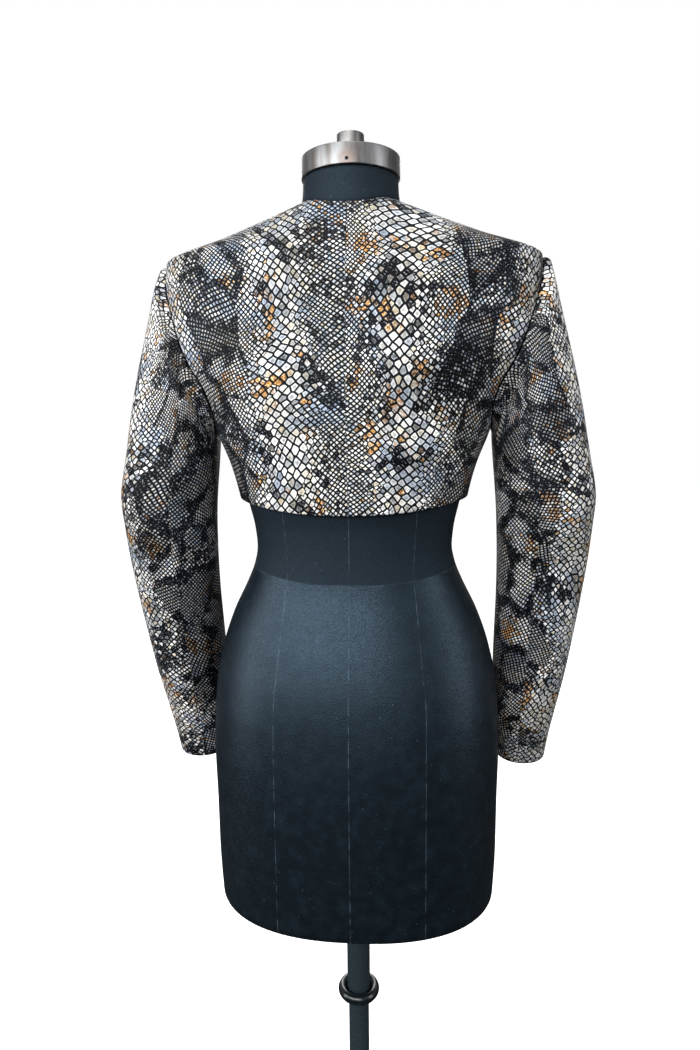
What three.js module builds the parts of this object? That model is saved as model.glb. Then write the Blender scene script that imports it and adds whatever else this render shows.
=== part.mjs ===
// A cropped jacket in snake-print leather, shown on a dress form with a telescoping stand.
// Millimetres, +Z up. The jacket's front faces -Y, its left side is +X,
// and the origin is on the floor at the middle of the round base.
import * as THREE from 'three';

// Driving sizes: cloth
const WALL = 2; // leather with its lining
const HALF_SEAM = 0.2; // each sewn edge stops this far short of the seam line
const SEAT_GAP = 0.8; // between the cloth and the form's shoulders
const SLEEVE_GAP = 0.85; // between the armhole's edge and the sleeve

// Driving sizes: jacket
const NECK_SIDE = { half: 56, height: 1398 }; // where the shoulder seam meets the neck
const NECK_BACK_HEIGHT = 1389;
const SHOULDER = { half: 209, height: 1341 }; // where the shoulder seam meets the sleeve
const ARMPIT_HEIGHT = 1158;
const HEM_SIDE_HEIGHT = 1080;
const HEM_BACK_HEIGHT = 1066;
const ARMHOLE_SPREAD = 25; // degrees that the armhole takes out of the side, to back and to front
const ARMHOLE_SCOOP = 0.5; // how far its widest place lies below its middle

// Driving sizes: form and stand
const FORM_BOTTOM = 600;
const NECK = { radius: 53.5, height: 1426.7, front: 1374 }; // front is the lowest point of its base seam
const ARM_PLATE = { from: 150, reach: 36, softness: 50 }; // the form's shoulder is narrower than the jacket's
const CAP = { radius: 54.6, bottom: 1427, top: 1449, edge: 1.5 };
const KNOB = { radius: 15.4, bottom: 1449.3, top: 1475, edge: 1.5 };
const TUBE = { outer: 14.3, inner: 13.1, bottom: 446, top: 700 };
const POLE = { radius: 12.7, bottom: 6, top: 660 };
const SOCKET = { radius: 14.6, top: 800 };
const COLLAR = { height: 454, radius: 26 };
const BASE = { radius: 200, edge: 10, crown: 16, hub: 24, hubTop: 60, socket: 13 };

// Fineness of the mesh
const ROWS = { below: 5, armhole: 13, shoulder: 6 };
const PANEL_COLUMNS = 10;
const SLEEVE_ROWS = 22;
const SLEEVE_SEGMENTS = { upper: 16, under: 8 };
const FORM_SEGMENTS = 44;
const ROUND_SEGMENTS = 32;
const PROBE = 0.01; // step for slopes, in table steps or degrees

// The jacket's outside, as level sections: half width at the side, reach to the back and to the front,
// and how square the corners are (2 is an ellipse).
const JACKET_SECTIONS = [
  { height: 1050, width: 127, back: 93, front: 117, square: 2.25 },
  { height: 1066, width: 128.5, back: 94, front: 119, square: 2.25 },
  { height: 1089, width: 132, back: 96, front: 123, square: 2.3 },
  { height: 1116, width: 139.5, back: 99, front: 128, square: 2.3 },
  { height: 1150, width: 153, back: 102, front: 131, square: 2.3 },
  { height: 1166, width: 158, back: 103, front: 130, square: 2.3 },
  { height: 1189, width: 169, back: 104, front: 126, square: 2.3 },
  { height: 1207, width: 180, back: 104, front: 121, square: 2.3 },
  { height: 1225, width: 192, back: 103.5, front: 115, square: 2.3 },
  { height: 1250, width: 201.5, back: 102, front: 105, square: 2.3 },
  { height: 1290, width: 207.5, back: 97, front: 89, square: 2.25 },
  { height: 1320, width: 210, back: 90, front: 77, square: 2.2 },
  { height: SHOULDER.height, width: SHOULDER.half, back: 82, front: 69, square: 2.15 },
  { height: 1364, width: 147.3, back: 71, front: 62, square: 2.1 },
  { height: 1385, width: 90.9, back: 61, front: 57.5, square: 2.1 },
  { height: NECK_SIDE.height, width: NECK_SIDE.half, back: 56, front: 55.5, square: 2.05 },
];

// The form's skin below the bust, as level sections, and how far it lies inside the cloth above that.
const FORM_SECTIONS = [
  { height: 600, width: 163.4, back: 119, front: 97, square: 2.35 },
  { height: 660, width: 166.4, back: 120, front: 97.5, square: 2.35 },
  { height: 728, width: 167.4, back: 121, front: 98, square: 2.3 },
  { height: 780, width: 168.6, back: 120, front: 98, square: 2.3 },
  { height: 828, width: 167, back: 117, front: 97, square: 2.3 },
  { height: 868, width: 164, back: 112, front: 96, square: 2.25 },
  { height: 907, width: 156, back: 104, front: 94, square: 2.2 },
  { height: 946, width: 142.7, back: 94, front: 91, square: 2.2 },
  { height: 985, width: 124, back: 85, front: 88, square: 2.15 },
  { height: 1004, width: 116.5, back: 82.5, front: 87, square: 2.15 },
  { height: 1023, width: 113, back: 81.5, front: 87.5, square: 2.15 },
  { height: 1045, width: 115, back: 82, front: 90, square: 2.15 },
  { height: 1070, width: 120.5, back: 85, front: 96, square: 2.2 },
  { height: 1110, width: 131, back: 91, front: 110, square: 2.25 },
  { height: 1150, width: 143, back: 95, front: 122, square: 2.3 },
  { height: 1180, width: 152, back: 97, front: 121, square: 2.3 },
];
const FORM_EASE = [
  { height: 1110, ease: 7 },
  { height: 1150, ease: 6 },
  { height: 1200, ease: 4.5 },
  { height: 1250, ease: 2.5 },
  { height: 1300, ease: 1 },
  { height: 1341, ease: SEAT_GAP },
  { height: 1376, ease: SEAT_GAP },
  { height: 1390, ease: SEAT_GAP + 1 },
  { height: 1398, ease: SEAT_GAP + 1.4 },
];
const FORM_BLEND = { from: 1110, to: 1180 }; // heights between which the form leaves its own table for the cloth's

// Half the front opening at each height; it turns away at the hem and follows the neck at the top.
const FRONT_EDGE = [
  { height: 1080, half: 74 },
  { height: 1086, half: 62 },
  { height: 1096, half: 53 },
  { height: 1112, half: 47 },
  { height: 1150, half: 42 },
  { height: 1250, half: 41 },
  { height: 1320, half: 45 },
  { height: 1362, half: 51 },
  { height: 1385, half: 54 },
  { height: 1396.5, half: 55.6 },
];
const FRONT_TOP = 1396.5;

// The sleeve's rings below its head: the ends of each ring in the front view, at the arm's inner and outer
// side, the place of its middle along Y, and half its depth.
const SLEEVE_RINGS = [
  { innerX: 157.2, innerZ: 1151, outerX: 223, outerZ: 1316, middle: 0, depth: 53 },
  { innerX: 157.4, innerZ: 1146, outerX: 229.6, outerZ: 1288, middle: 0, depth: 55 },
  { innerX: 157.8, innerZ: 1139, outerX: 237.6, outerZ: 1256, middle: 0, depth: 57 },
  { innerX: 158.4, innerZ: 1129, outerX: 246.9, outerZ: 1218, middle: 0.5, depth: 58 },
  { innerX: 159.4, innerZ: 1115, outerX: 255.8, outerZ: 1176, middle: 1, depth: 58 },
  { innerX: 160.9, innerZ: 1097, outerX: 263.8, outerZ: 1130, middle: 2, depth: 57 },
  { innerX: 162.4, innerZ: 1075, outerX: 271.8, outerZ: 1084, middle: 3, depth: 56 },
  { innerX: 164, innerZ: 1048, outerX: 270.2, outerZ: 1050, middle: 1, depth: 54.5 },
  { innerX: 165.6, innerZ: 1008, outerX: 266.8, outerZ: 1005, middle: -5, depth: 53 },
  { innerX: 166.4, innerZ: 965, outerX: 262.2, outerZ: 960, middle: -13, depth: 51.5 },
  { innerX: 166.2, innerZ: 920, outerX: 257.4, outerZ: 915, middle: -23, depth: 50 },
  { innerX: 166.2, innerZ: 874, outerX: 252, outerZ: 868, middle: -34, depth: 48.5 },
  { innerX: 168, innerZ: 828, outerX: 245.2, outerZ: 822, middle: -46, depth: 46.5 },
  { innerX: 171, innerZ: 783, outerX: 239, outerZ: 780, middle: -58, depth: 44 },
  { innerX: 174.2, innerZ: 738, outerX: 235.4, outerZ: 740, middle: -70, depth: 41.5 },
];
const SLEEVE_SQUARE = 2.1;
const SLEEVE_HEAD = { out: 8, drop: 3, roll: 3, swell: 1.03 }; // the ring just outside the armhole
const BACK_SEAM = 105; // degrees round the sleeve from its outer side over the back
const FRONT_SEAM = -130;

const COLOURS = {
  leather: { color: 0x8f8a84, roughness: 0.45, metalness: 0.1 },
  formCloth: { color: 0x1d2a31, roughness: 0.85, metalness: 0 },
  steel: { color: 0xb9b4ae, roughness: 0.28, metalness: 1 },
  blackMetal: { color: 0x23282b, roughness: 0.4, metalness: 0.6 },
};

const radians = THREE.MathUtils.degToRad;
const clamp = THREE.MathUtils.clamp;
const smooth = THREE.MathUtils.smoothstep;

// A smooth curve through one column of a table that never overshoots its rows (a monotone cubic).
function column(table, name) {
  const heights = table.map((row) => row.height);
  const values = table.map((row) => row[name]);
  const slopes = [];
  for (let i = 0; i < values.length - 1; i += 1) {
    slopes.push((values[i + 1] - values[i]) / (heights[i + 1] - heights[i]));
  }
  const tangents = values.map((value, i) => {
    if (i === 0) return slopes[0];
    if (i === values.length - 1) return slopes[i - 1];
    const before = slopes[i - 1];
    const after = slopes[i];
    return before * after <= 0 ? 0 : (2 * before * after) / (before + after);
  });
  return (height) => {
    const at = clamp(height, heights[0], heights[heights.length - 1]);
    let i = 0;
    while (i < slopes.length - 1 && at > heights[i + 1]) i += 1;
    const step = heights[i + 1] - heights[i];
    const t = (at - heights[i]) / step;
    const u = 1 - t;
    return (
      values[i] * (1 + 2 * t) * u * u +
      values[i + 1] * (1 + 2 * u) * t * t +
      step * t * u * (tangents[i] * u - tangents[i + 1] * t)
    );
  };
}

const sectionOf = (table) => ({
  width: column(table, 'width'),
  back: column(table, 'back'),
  front: column(table, 'front'),
  square: column(table, 'square'),
});
const jacket = sectionOf(JACKET_SECTIONS);
const form = sectionOf(FORM_SECTIONS);
const formEase = column(FORM_EASE, 'ease');
const frontEdge = column(FRONT_EDGE, 'half');

// A point of a level section. The angle is 0 at the side, 90 at the middle of the back, -90 at the middle front.
function sectionPoint(section, height, degrees) {
  const angle = radians(degrees);
  const power = 2 / section.square(height);
  const reach = degrees < 0 ? section.front(height) : section.back(height);
  const across = Math.sign(Math.cos(angle)) * Math.abs(Math.cos(angle)) ** power;
  const along = Math.sign(angle === 0 ? 0 : Math.sin(angle)) * Math.abs(Math.sin(angle)) ** power;
  return new THREE.Vector3(section.width(height) * across, reach * along, height);
}

// The angle at which a section reaches a distance from the X axis or from the Y axis.
function angleAtDepth(section, height, depth) {
  const reach = depth < 0 ? section.front(height) : section.back(height);
  const sine = (Math.abs(depth) / reach) ** (section.square(height) / 2);
  return Math.sign(depth) * THREE.MathUtils.radToDeg(Math.asin(sine));
}
function angleAtHalf(section, height, half) {
  const cosine = Math.min(1, half / section.width(height)) ** (section.square(height) / 2);
  return THREE.MathUtils.radToDeg(Math.acos(cosine));
}

// Outward unit normal of a surface given as a function of two parameters, by small steps.
function normalOf(surface, a, b, stepA, stepB) {
  const alongA = surface(a + stepA, b).sub(surface(a - stepA, b));
  const alongB = surface(a, b + stepB).sub(surface(a, b - stepB));
  return alongB.cross(alongA).normalize();
}
const jacketPoint = (height, degrees) => sectionPoint(jacket, height, degrees);
function jacketNormal(height, degrees) {
  const top = NECK_SIDE.height - 2 * PROBE;
  const side = degrees < 0 ? Math.min(degrees, -2 * PROBE) : Math.max(degrees, 2 * PROBE);
  return normalOf(jacketPoint, Math.min(height, top), side, PROBE, PROBE);
}

// A closed solid between an outside grid of points and the same grid moved in.
function solidBetween(outside, inside) {
  const rows = outside.length;
  const columns = outside[0].length;
  const points = [...outside.flat(), ...inside.flat()];
  const faces = [];
  const at = (layer, row, col) => layer * rows * columns + row * columns + col;
  const quad = (a, b, c, d) => faces.push(a, b, c, a, c, d);
  for (let r = 0; r < rows - 1; r += 1) {
    for (let c = 0; c < columns - 1; c += 1) {
      quad(at(0, r, c), at(0, r, c + 1), at(0, r + 1, c + 1), at(0, r + 1, c));
      faces.push(at(1, r, c), at(1, r + 1, c + 1), at(1, r, c + 1));
      faces.push(at(1, r, c), at(1, r + 1, c), at(1, r + 1, c + 1));
    }
    quad(at(0, r + 1, 0), at(1, r + 1, 0), at(1, r, 0), at(0, r, 0));
    quad(at(1, r, columns - 1), at(1, r + 1, columns - 1), at(0, r + 1, columns - 1), at(0, r, columns - 1));
  }
  for (let c = 0; c < columns - 1; c += 1) {
    quad(at(0, 0, c), at(1, 0, c), at(1, 0, c + 1), at(0, 0, c + 1));
    quad(at(0, rows - 1, c + 1), at(1, rows - 1, c + 1), at(1, rows - 1, c), at(0, rows - 1, c));
  }
  return meshGeometry(points, faces);
}

// A closed solid through level rings from one end point to the other.
function solidThroughRings(start, rings, end) {
  const count = rings[0].length;
  const points = [start, ...rings.flat(), end];
  const last = points.length - 1;
  const faces = [];
  const at = (ring, place) => 1 + ring * count + (place % count);
  for (let p = 0; p < count; p += 1) {
    faces.push(0, at(0, p + 1), at(0, p));
    for (let r = 0; r < rings.length - 1; r += 1) {
      faces.push(at(r, p), at(r, p + 1), at(r + 1, p + 1), at(r, p), at(r + 1, p + 1), at(r + 1, p));
    }
    faces.push(last, at(rings.length - 1, p), at(rings.length - 1, p + 1));
  }
  return meshGeometry(points, faces);
}

// Buffer geometry with its faces turned outwards.
function meshGeometry(points, faces) {
  let volume = 0;
  for (let i = 0; i < faces.length; i += 3) {
    const [a, b, c] = [points[faces[i]], points[faces[i + 1]], points[faces[i + 2]]];
    volume += a.dot(b.clone().cross(c));
  }
  const turned = volume < 0 ? faces.slice().reverse() : faces;
  const geometry = new THREE.BufferGeometry().setFromPoints(points);
  geometry.setIndex(turned);
  geometry.computeVertexNormals();
  return geometry;
}

const mirrored = (grid, side) => grid.map((row) => row.map((p) => new THREE.Vector3(side * p.x, p.y, p.z)));

// Jacket body

// The armhole, by an angle that is 0 at the shoulder point and 180 at the armpit; positive is the back.
function armholePlace(degrees) {
  const angle = radians(degrees);
  const height = ARMPIT_HEIGHT + ((SHOULDER.height - ARMPIT_HEIGHT) * (1 + Math.cos(angle))) / 2;
  const spread = ARMHOLE_SPREAD * Math.sin(angle) * (1 - ARMHOLE_SCOOP * Math.cos(angle));
  return { height, spread };
}
function armholePoint(degrees) {
  const { height, spread } = armholePlace(degrees);
  return jacketPoint(height, spread);
}

// Heights of the panel's rows on its outer edge, each with the zone it lies in and its share of that zone.
function panelRows() {
  const rows = [];
  for (let i = 0; i < ROWS.below; i += 1) {
    rows.push({ zone: 'below', share: i / ROWS.below });
  }
  for (let i = 0; i <= ROWS.armhole; i += 1) {
    rows.push({ zone: 'armhole', degrees: 180 * (1 - i / ROWS.armhole) });
  }
  for (let i = 1; i <= ROWS.shoulder; i += 1) {
    rows.push({ zone: 'shoulder', share: i / ROWS.shoulder });
  }
  return rows;
}

const backHem = (degrees) =>
  HEM_SIDE_HEIGHT + (HEM_BACK_HEIGHT - HEM_SIDE_HEIGHT) * Math.sin(radians(degrees)) ** 2;
const backNeck = (degrees) =>
  NECK_SIDE.height + (NECK_BACK_HEIGHT - NECK_SIDE.height) * Math.sin(radians(degrees)) ** 6;
const frontHem = () => HEM_SIDE_HEIGHT;
const frontNeck = () => FRONT_TOP;

// One quarter of the body. The outer edge follows the side seam, the armhole and the shoulder seam;
// the inner edge follows innerAngle.
function bodyPanel(side, facing, hem, neck, innerAngle) {
  const outside = [];
  const inside = [];
  for (const row of panelRows()) {
    const levelAt = (degrees) => {
      if (row.zone === 'below') return hem(degrees) + row.share * (ARMPIT_HEIGHT - hem(degrees));
      if (row.zone === 'armhole') return armholePlace(row.degrees).height;
      return SHOULDER.height + row.share * (neck(degrees) - SHOULDER.height);
    };
    const edgeHeight = levelAt(0);
    const seam = Math.abs(angleAtDepth(jacket, edgeHeight, facing * HALF_SEAM));
    const cut = row.zone === 'armhole' ? armholePlace(row.degrees).spread : 0;
    const start = Math.max(seam, cut);
    const end = innerAngle(edgeHeight);
    const outsideRow = [];
    const insideRow = [];
    for (let c = 0; c <= PANEL_COLUMNS; c += 1) {
      const degrees = facing * (start + ((end - start) * c) / PANEL_COLUMNS);
      const height = levelAt(degrees);
      const point = jacketPoint(height, degrees);
      outsideRow.push(point);
      insideRow.push(point.clone().addScaledVector(jacketNormal(height, degrees), -WALL));
    }
    outside.push(outsideRow);
    inside.push(insideRow);
  }
  return solidBetween(mirrored(outside, side), mirrored(inside, side));
}

const backPanel = (side) =>
  bodyPanel(side, 1, backHem, backNeck, (height) => angleAtHalf(jacket, height, HALF_SEAM));
const frontPanel = (side) =>
  bodyPanel(side, -1, frontHem, frontNeck, (height) => angleAtHalf(jacket, height, frontEdge(height)));

// Sleeves

// A point of one ring of the sleeve: the armhole, the rolled head, then the rows of the table.
function ringPoint(ring, degrees) {
  const angle = radians(degrees);
  const turned = degrees > 180 ? degrees - 360 : degrees;
  if (ring < 2) {
    const { height, spread } = armholePlace(Math.abs(turned));
    const point = jacketPoint(height, Math.sign(turned) * spread);
    const upper = ((1 + Math.cos(angle)) / 2) ** 1.3;
    point.x += SLEEVE_GAP + ring * SLEEVE_HEAD.out * upper;
    point.z -= ring * (SLEEVE_HEAD.drop + SLEEVE_HEAD.roll * upper);
    point.y *= ring ? SLEEVE_HEAD.swell : 1;
    return point;
  }
  const row = SLEEVE_RINGS[ring - 2];
  const power = 2 / SLEEVE_SQUARE;
  const across = Math.sign(Math.cos(angle)) * Math.abs(Math.cos(angle)) ** power;
  const along = Math.sign(Math.sin(angle)) * Math.abs(Math.sin(angle)) ** power;
  return new THREE.Vector3(
    (row.outerX + row.innerX) / 2 + ((row.outerX - row.innerX) / 2) * across,
    row.middle + row.depth * along,
    (row.outerZ + row.innerZ) / 2 + ((row.outerZ - row.innerZ) / 2) * across,
  );
}

// A point of the sleeve's outside, by a smooth curve (Catmull-Rom) through its rings.
const LAST_RING = SLEEVE_RINGS.length + 1;
function sleevePoint(along, degrees) {
  const at = clamp(along, 0, LAST_RING);
  const ring = Math.min(Math.floor(at), LAST_RING - 1);
  const t = at - ring;
  const [a, b, c, d] = [-1, 0, 1, 2].map((k) => ringPoint(clamp(ring + k, 0, LAST_RING), degrees));
  const blend = (p, q, r, s) =>
    q + 0.5 * t * (r - p + t * (2 * p - 5 * q + 4 * r - s + t * (3 * (q - r) + s - p)));
  return new THREE.Vector3(blend(a.x, b.x, c.x, d.x), blend(a.y, b.y, c.y, d.y), blend(a.z, b.z, c.z, d.z));
}
function sleeveNormal(along, degrees) {
  const inRange = clamp(along, PROBE, LAST_RING - PROBE);
  return normalOf(sleevePoint, inRange, degrees, PROBE, 1).negate();
}

// Unit direction square to a lengthwise seam, in the cloth, towards growing angles.
function acrossSeam(along, degrees, normal) {
  const at = clamp(along, PROBE, LAST_RING - PROBE);
  const downwards = sleevePoint(at + PROBE, degrees).sub(sleevePoint(at - PROBE, degrees));
  const across = downwards.cross(normal).normalize();
  const wider = sleevePoint(at, degrees + 1).sub(sleevePoint(at, degrees - 1));
  return across.dot(wider) < 0 ? across.negate() : across;
}

// A lengthwise piece of a sleeve between two seams.
function sleevePiece(side, from, to, segments) {
  const outside = [];
  const inside = [];
  for (let r = 0; r <= SLEEVE_ROWS; r += 1) {
    const along = (LAST_RING * r) / SLEEVE_ROWS;
    const outsideRow = [];
    const insideRow = [];
    for (let c = 0; c <= segments; c += 1) {
      const degrees = from + ((to - from) * c) / segments;
      const normal = sleeveNormal(along, degrees);
      const point = sleevePoint(along, degrees);
      if (c === 0) point.addScaledVector(acrossSeam(along, degrees, normal), HALF_SEAM);
      if (c === segments) point.addScaledVector(acrossSeam(along, degrees, normal), -HALF_SEAM);
      outsideRow.push(point);
      insideRow.push(point.clone().addScaledVector(normal, -WALL));
    }
    outside.push(outsideRow);
    inside.push(insideRow);
  }
  return solidBetween(mirrored(outside, side), mirrored(inside, side));
}
const upperSleeve = (side) => sleevePiece(side, FRONT_SEAM, BACK_SEAM, SLEEVE_SEGMENTS.upper);
const underSleeve = (side) => sleevePiece(side, BACK_SEAM, FRONT_SEAM + 360, SLEEVE_SEGMENTS.under);

// Form and stand

// The form's shoulders end inside the jacket's: past the arm plate's start, X is drawn in softly.
function drawnIn(x) {
  const past = Math.abs(x) - ARM_PLATE.from;
  if (past <= 0) return x;
  return Math.sign(x) * (ARM_PLATE.from + ARM_PLATE.reach * Math.tanh(past / ARM_PLATE.softness));
}

// The form's skin: its own sections below the bust, and the cloth's surface moved in above it.
function formPoint(height, degrees) {
  const quarter = degrees > 90 ? 180 - degrees : degrees < -90 ? -180 - degrees : degrees;
  const side = Math.abs(degrees) > 90 ? -1 : 1;
  const own = sectionPoint(form, height, quarter);
  const inset = WALL + formEase(height);
  const under = jacketPoint(height, quarter).addScaledVector(jacketNormal(height, quarter), -inset);
  under.x = drawnIn(under.x);
  const point = own.lerp(under, smooth(height, FORM_BLEND.from, FORM_BLEND.to));
  point.x *= side;
  return point;
}

function circleRing(radius, height) {
  return formAngles().map((degrees) => {
    const angle = radians(degrees);
    return new THREE.Vector3(radius * Math.cos(angle), radius * Math.sin(angle), height);
  });
}
function formAngles() {
  const angles = [];
  for (let i = 0; i < FORM_SEGMENTS; i += 1) angles.push(-180 + ((i + 0.5) * 360) / FORM_SEGMENTS);
  return angles;
}

function formTorso() {
  const edge = 10; // rounding of the bottom edge
  const bottomRing = (shrink, height) =>
    formAngles().map((degrees) => {
      const point = formPoint(FORM_BOTTOM + edge, degrees);
      return new THREE.Vector3(point.x * shrink, point.y * shrink, height);
    });
  const levels = [];
  for (let height = FORM_BOTTOM + 40; height < 1300; height += 33) levels.push(height);
  levels.push(1308, 1325, SHOULDER.height);
  // Above the shoulder point the rings lean with the base of the neck.
  const neckBase = (degrees) => {
    const middle = degrees < 0 ? NECK.front : NECK_BACK_HEIGHT;
    return NECK_SIDE.height - 1 + (middle - NECK_SIDE.height) * Math.sin(radians(degrees)) ** 6;
  };
  const leaning = [0.15, 0.3, 0.47, 0.64, 0.8, 0.92, 0.99].map((share) =>
    formAngles().map((degrees) =>
      formPoint(SHOULDER.height + share * (neckBase(degrees) - SHOULDER.height), degrees),
    ),
  );
  const neckRing = formAngles().map((degrees) => {
    const angle = radians(degrees);
    const radius = NECK.radius + 0.5;
    return new THREE.Vector3(radius * Math.cos(angle), radius * Math.sin(angle), neckBase(degrees) - 1.5);
  });
  const rings = [
    circleRing(SOCKET.radius, SOCKET.top),
    circleRing(SOCKET.radius, FORM_BOTTOM),
    bottomRing(0.955, FORM_BOTTOM),
    bottomRing(0.985, FORM_BOTTOM + edge * 0.3),
    bottomRing(1, FORM_BOTTOM + edge),
    ...levels.map((height) => formAngles().map((degrees) => formPoint(height, degrees))),
    ...leaning,
    neckRing,
    circleRing(NECK.radius, NECK_SIDE.height + 4),
    circleRing(NECK.radius - 1, NECK.height),
  ];
  const start = new THREE.Vector3(0, 0, SOCKET.top);
  const end = new THREE.Vector3(0, 0, NECK.height);
  return solidThroughRings(start, rings, end);
}

// Turned pieces: a profile of [radius, height] pairs spun about Z.
function turned(profile) {
  const geometry = new THREE.LatheGeometry(profile.map(([r, z]) => new THREE.Vector2(r, z)), ROUND_SEGMENTS);
  return geometry.rotateX(Math.PI / 2);
}

function turnedDisc({ radius, bottom, top, edge }) {
  return turned([
    [0, bottom],
    [radius - edge, bottom],
    [radius, bottom + edge],
    [radius, top - edge],
    [radius - edge, top],
    [0, top],
  ]);
}

const standTube = () =>
  turned([
    [TUBE.inner, TUBE.bottom],
    [TUBE.outer, TUBE.bottom],
    [TUBE.outer, TUBE.top],
    [TUBE.inner, TUBE.top],
    [TUBE.inner, TUBE.bottom],
  ]);

// A dished ring: its rim stands up round the tube, and its lower lip closes in under the tube's end.
function standCollar() {
  const bore = TUBE.outer + 0.3;
  const lip = TUBE.inner;
  const z = COLLAR.height;
  return turned([
    [bore, z - 8.3],
    [lip, z - 8.3],
    [lip, z - 10.4],
    [lip + 1, z - 10.4],
    [COLLAR.radius - 7.6, z - 9],
    [COLLAR.radius - 3, z - 6],
    [COLLAR.radius - 0.4, z - 2],
    [COLLAR.radius, z + 2],
    [COLLAR.radius - 2, z + 5.6],
    [bore + 6, z + 7],
    [bore + 3.4, z + 6],
    [bore + 1.4, z + 3.6],
    [bore, z + 1],
    [bore, z - 8.3],
  ]);
}

const standPole = () =>
  turned([
    [0, POLE.bottom],
    [POLE.radius, POLE.bottom],
    [POLE.radius, POLE.top],
    [0, POLE.top],
  ]);

function standBase() {
  const { radius, edge, crown, hub, hubTop, socket } = BASE;
  return turned([
    [0, 0],
    [radius - 2, 0],
    [radius, 2],
    [radius, edge - 3],
    [radius - 4, edge],
    [radius * 0.5, edge + 2.5],
    [hub + 14, crown],
    [hub + 2, crown + 8],
    [hub, crown + 16],
    [hub, hubTop - 3],
    [hub - 3, hubTop],
    [socket, hubTop],
    [socket, POLE.bottom - 0.3],
    [0, POLE.bottom - 0.3],
  ]);
}

// Assembly

const materials = {};
for (const [name, look] of Object.entries(COLOURS)) materials[name] = new THREE.MeshStandardMaterial(look);

function named(name, geometry, material) {
  const mesh = new THREE.Mesh(geometry, materials[material]);
  mesh.name = name;
  return mesh;
}

const jacketGroup = new THREE.Group();
for (const [word, side] of [
  ['left', 1],
  ['right', -1],
]) {
  jacketGroup.add(
    named(`back_${word}`, backPanel(side), 'leather'),
    named(`front_${word}`, frontPanel(side), 'leather'),
    named(`sleeve_upper_${word}`, upperSleeve(side), 'leather'),
    named(`sleeve_under_${word}`, underSleeve(side), 'leather'),
  );
}

const formGroup = new THREE.Group();
formGroup.add(
  named('form_torso', formTorso(), 'formCloth'),
  named('neck_cap', turnedDisc(CAP), 'steel'),
  named('neck_knob', turnedDisc(KNOB), 'steel'),
  named('stand_tube', standTube(), 'blackMetal'),
  named('stand_collar', standCollar(), 'blackMetal'),
);

const standGroup = new THREE.Group();
standGroup.add(
  named('stand_pole', standPole(), 'blackMetal'),
  named('stand_base', standBase(), 'blackMetal'),
);

const model = new THREE.Group();
model.add(jacketGroup, formGroup, standGroup);
export default model;
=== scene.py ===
"""Looks of a cropped snake-print leather jacket on a dress form with a telescoping stand.

Lengths in the tables are millimetres, as in the part's source; SCALE turns them to metres.
Angles round the body are degrees: 0 at the side, 90 at the middle of the back, -90 at the middle front.
"""

import math
from functools import partial
from types import SimpleNamespace

import bmesh
import bpy
import numpy as np
from mathutils import Matrix, Vector


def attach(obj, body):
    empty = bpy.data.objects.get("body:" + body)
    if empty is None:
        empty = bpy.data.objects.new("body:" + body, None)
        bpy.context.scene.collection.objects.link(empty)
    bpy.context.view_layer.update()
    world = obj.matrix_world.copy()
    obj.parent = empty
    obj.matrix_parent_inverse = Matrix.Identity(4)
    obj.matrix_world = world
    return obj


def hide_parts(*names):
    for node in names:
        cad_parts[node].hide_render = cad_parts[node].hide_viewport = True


SCALE = 0.001

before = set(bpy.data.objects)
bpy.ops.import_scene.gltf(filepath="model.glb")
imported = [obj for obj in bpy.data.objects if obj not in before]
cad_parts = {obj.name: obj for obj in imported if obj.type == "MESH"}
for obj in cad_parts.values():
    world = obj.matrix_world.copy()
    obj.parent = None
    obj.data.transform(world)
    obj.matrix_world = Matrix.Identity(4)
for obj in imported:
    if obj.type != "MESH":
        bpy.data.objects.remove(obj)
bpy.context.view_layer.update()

# Sizes shared with the part's source

WALL = 2.0
HALF_SEAM = 0.2
SEAT_GAP = 0.8
SLEEVE_GAP = 0.85
NECK_SIDE_HALF, NECK_SIDE_HEIGHT = 56.0, 1398.0
NECK_BACK_HEIGHT = 1389.0
SHOULDER_HALF, SHOULDER_HEIGHT = 209.0, 1341.0
ARMPIT_HEIGHT = 1158.0
HEM_SIDE_HEIGHT = 1080.0
HEM_BACK_HEIGHT = 1066.0
FRONT_TOP = 1396.5
ARMHOLE_SPREAD = 25.0
ARMHOLE_SCOOP = 0.5
FORM_BOTTOM = 600.0
NECK_RADIUS, NECK_TOP, NECK_FRONT = 53.5, 1426.7, 1374.0
PLATE_FROM, PLATE_REACH, PLATE_SOFTNESS = 150.0, 36.0, 50.0
BUST_HEIGHT, BUST_BLEND = 1110.0, 70.0
SLEEVE_SQUARE = 2.1
HEAD_OUT, HEAD_DROP, HEAD_ROLL, HEAD_SWELL = 8.0, 1.5, 2.0, 1.03
BACK_SEAM, FRONT_SEAM = 105.0, -130.0
SLEEVE_SEAM_INSET = HALF_SEAM * 0.15
CAP_RADIUS, CAP_LOW, CAP_TOP = 54.6, 1427.0, 1449.0
KNOB_RADIUS, KNOB_TOP = 15.4, 1475.0
SOCKET_RADIUS, SOCKET_TOP = 14.6, 800.0
TUBE_INNER, TUBE_OUTER, TUBE_LOW, TUBE_TOP = 13.1, 14.3, 446.0, 700.0
POLE_RADIUS, POLE_LOW, POLE_TOP = 12.7, 6.0, 660.0
COLLAR_HEIGHT = 454.0

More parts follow.
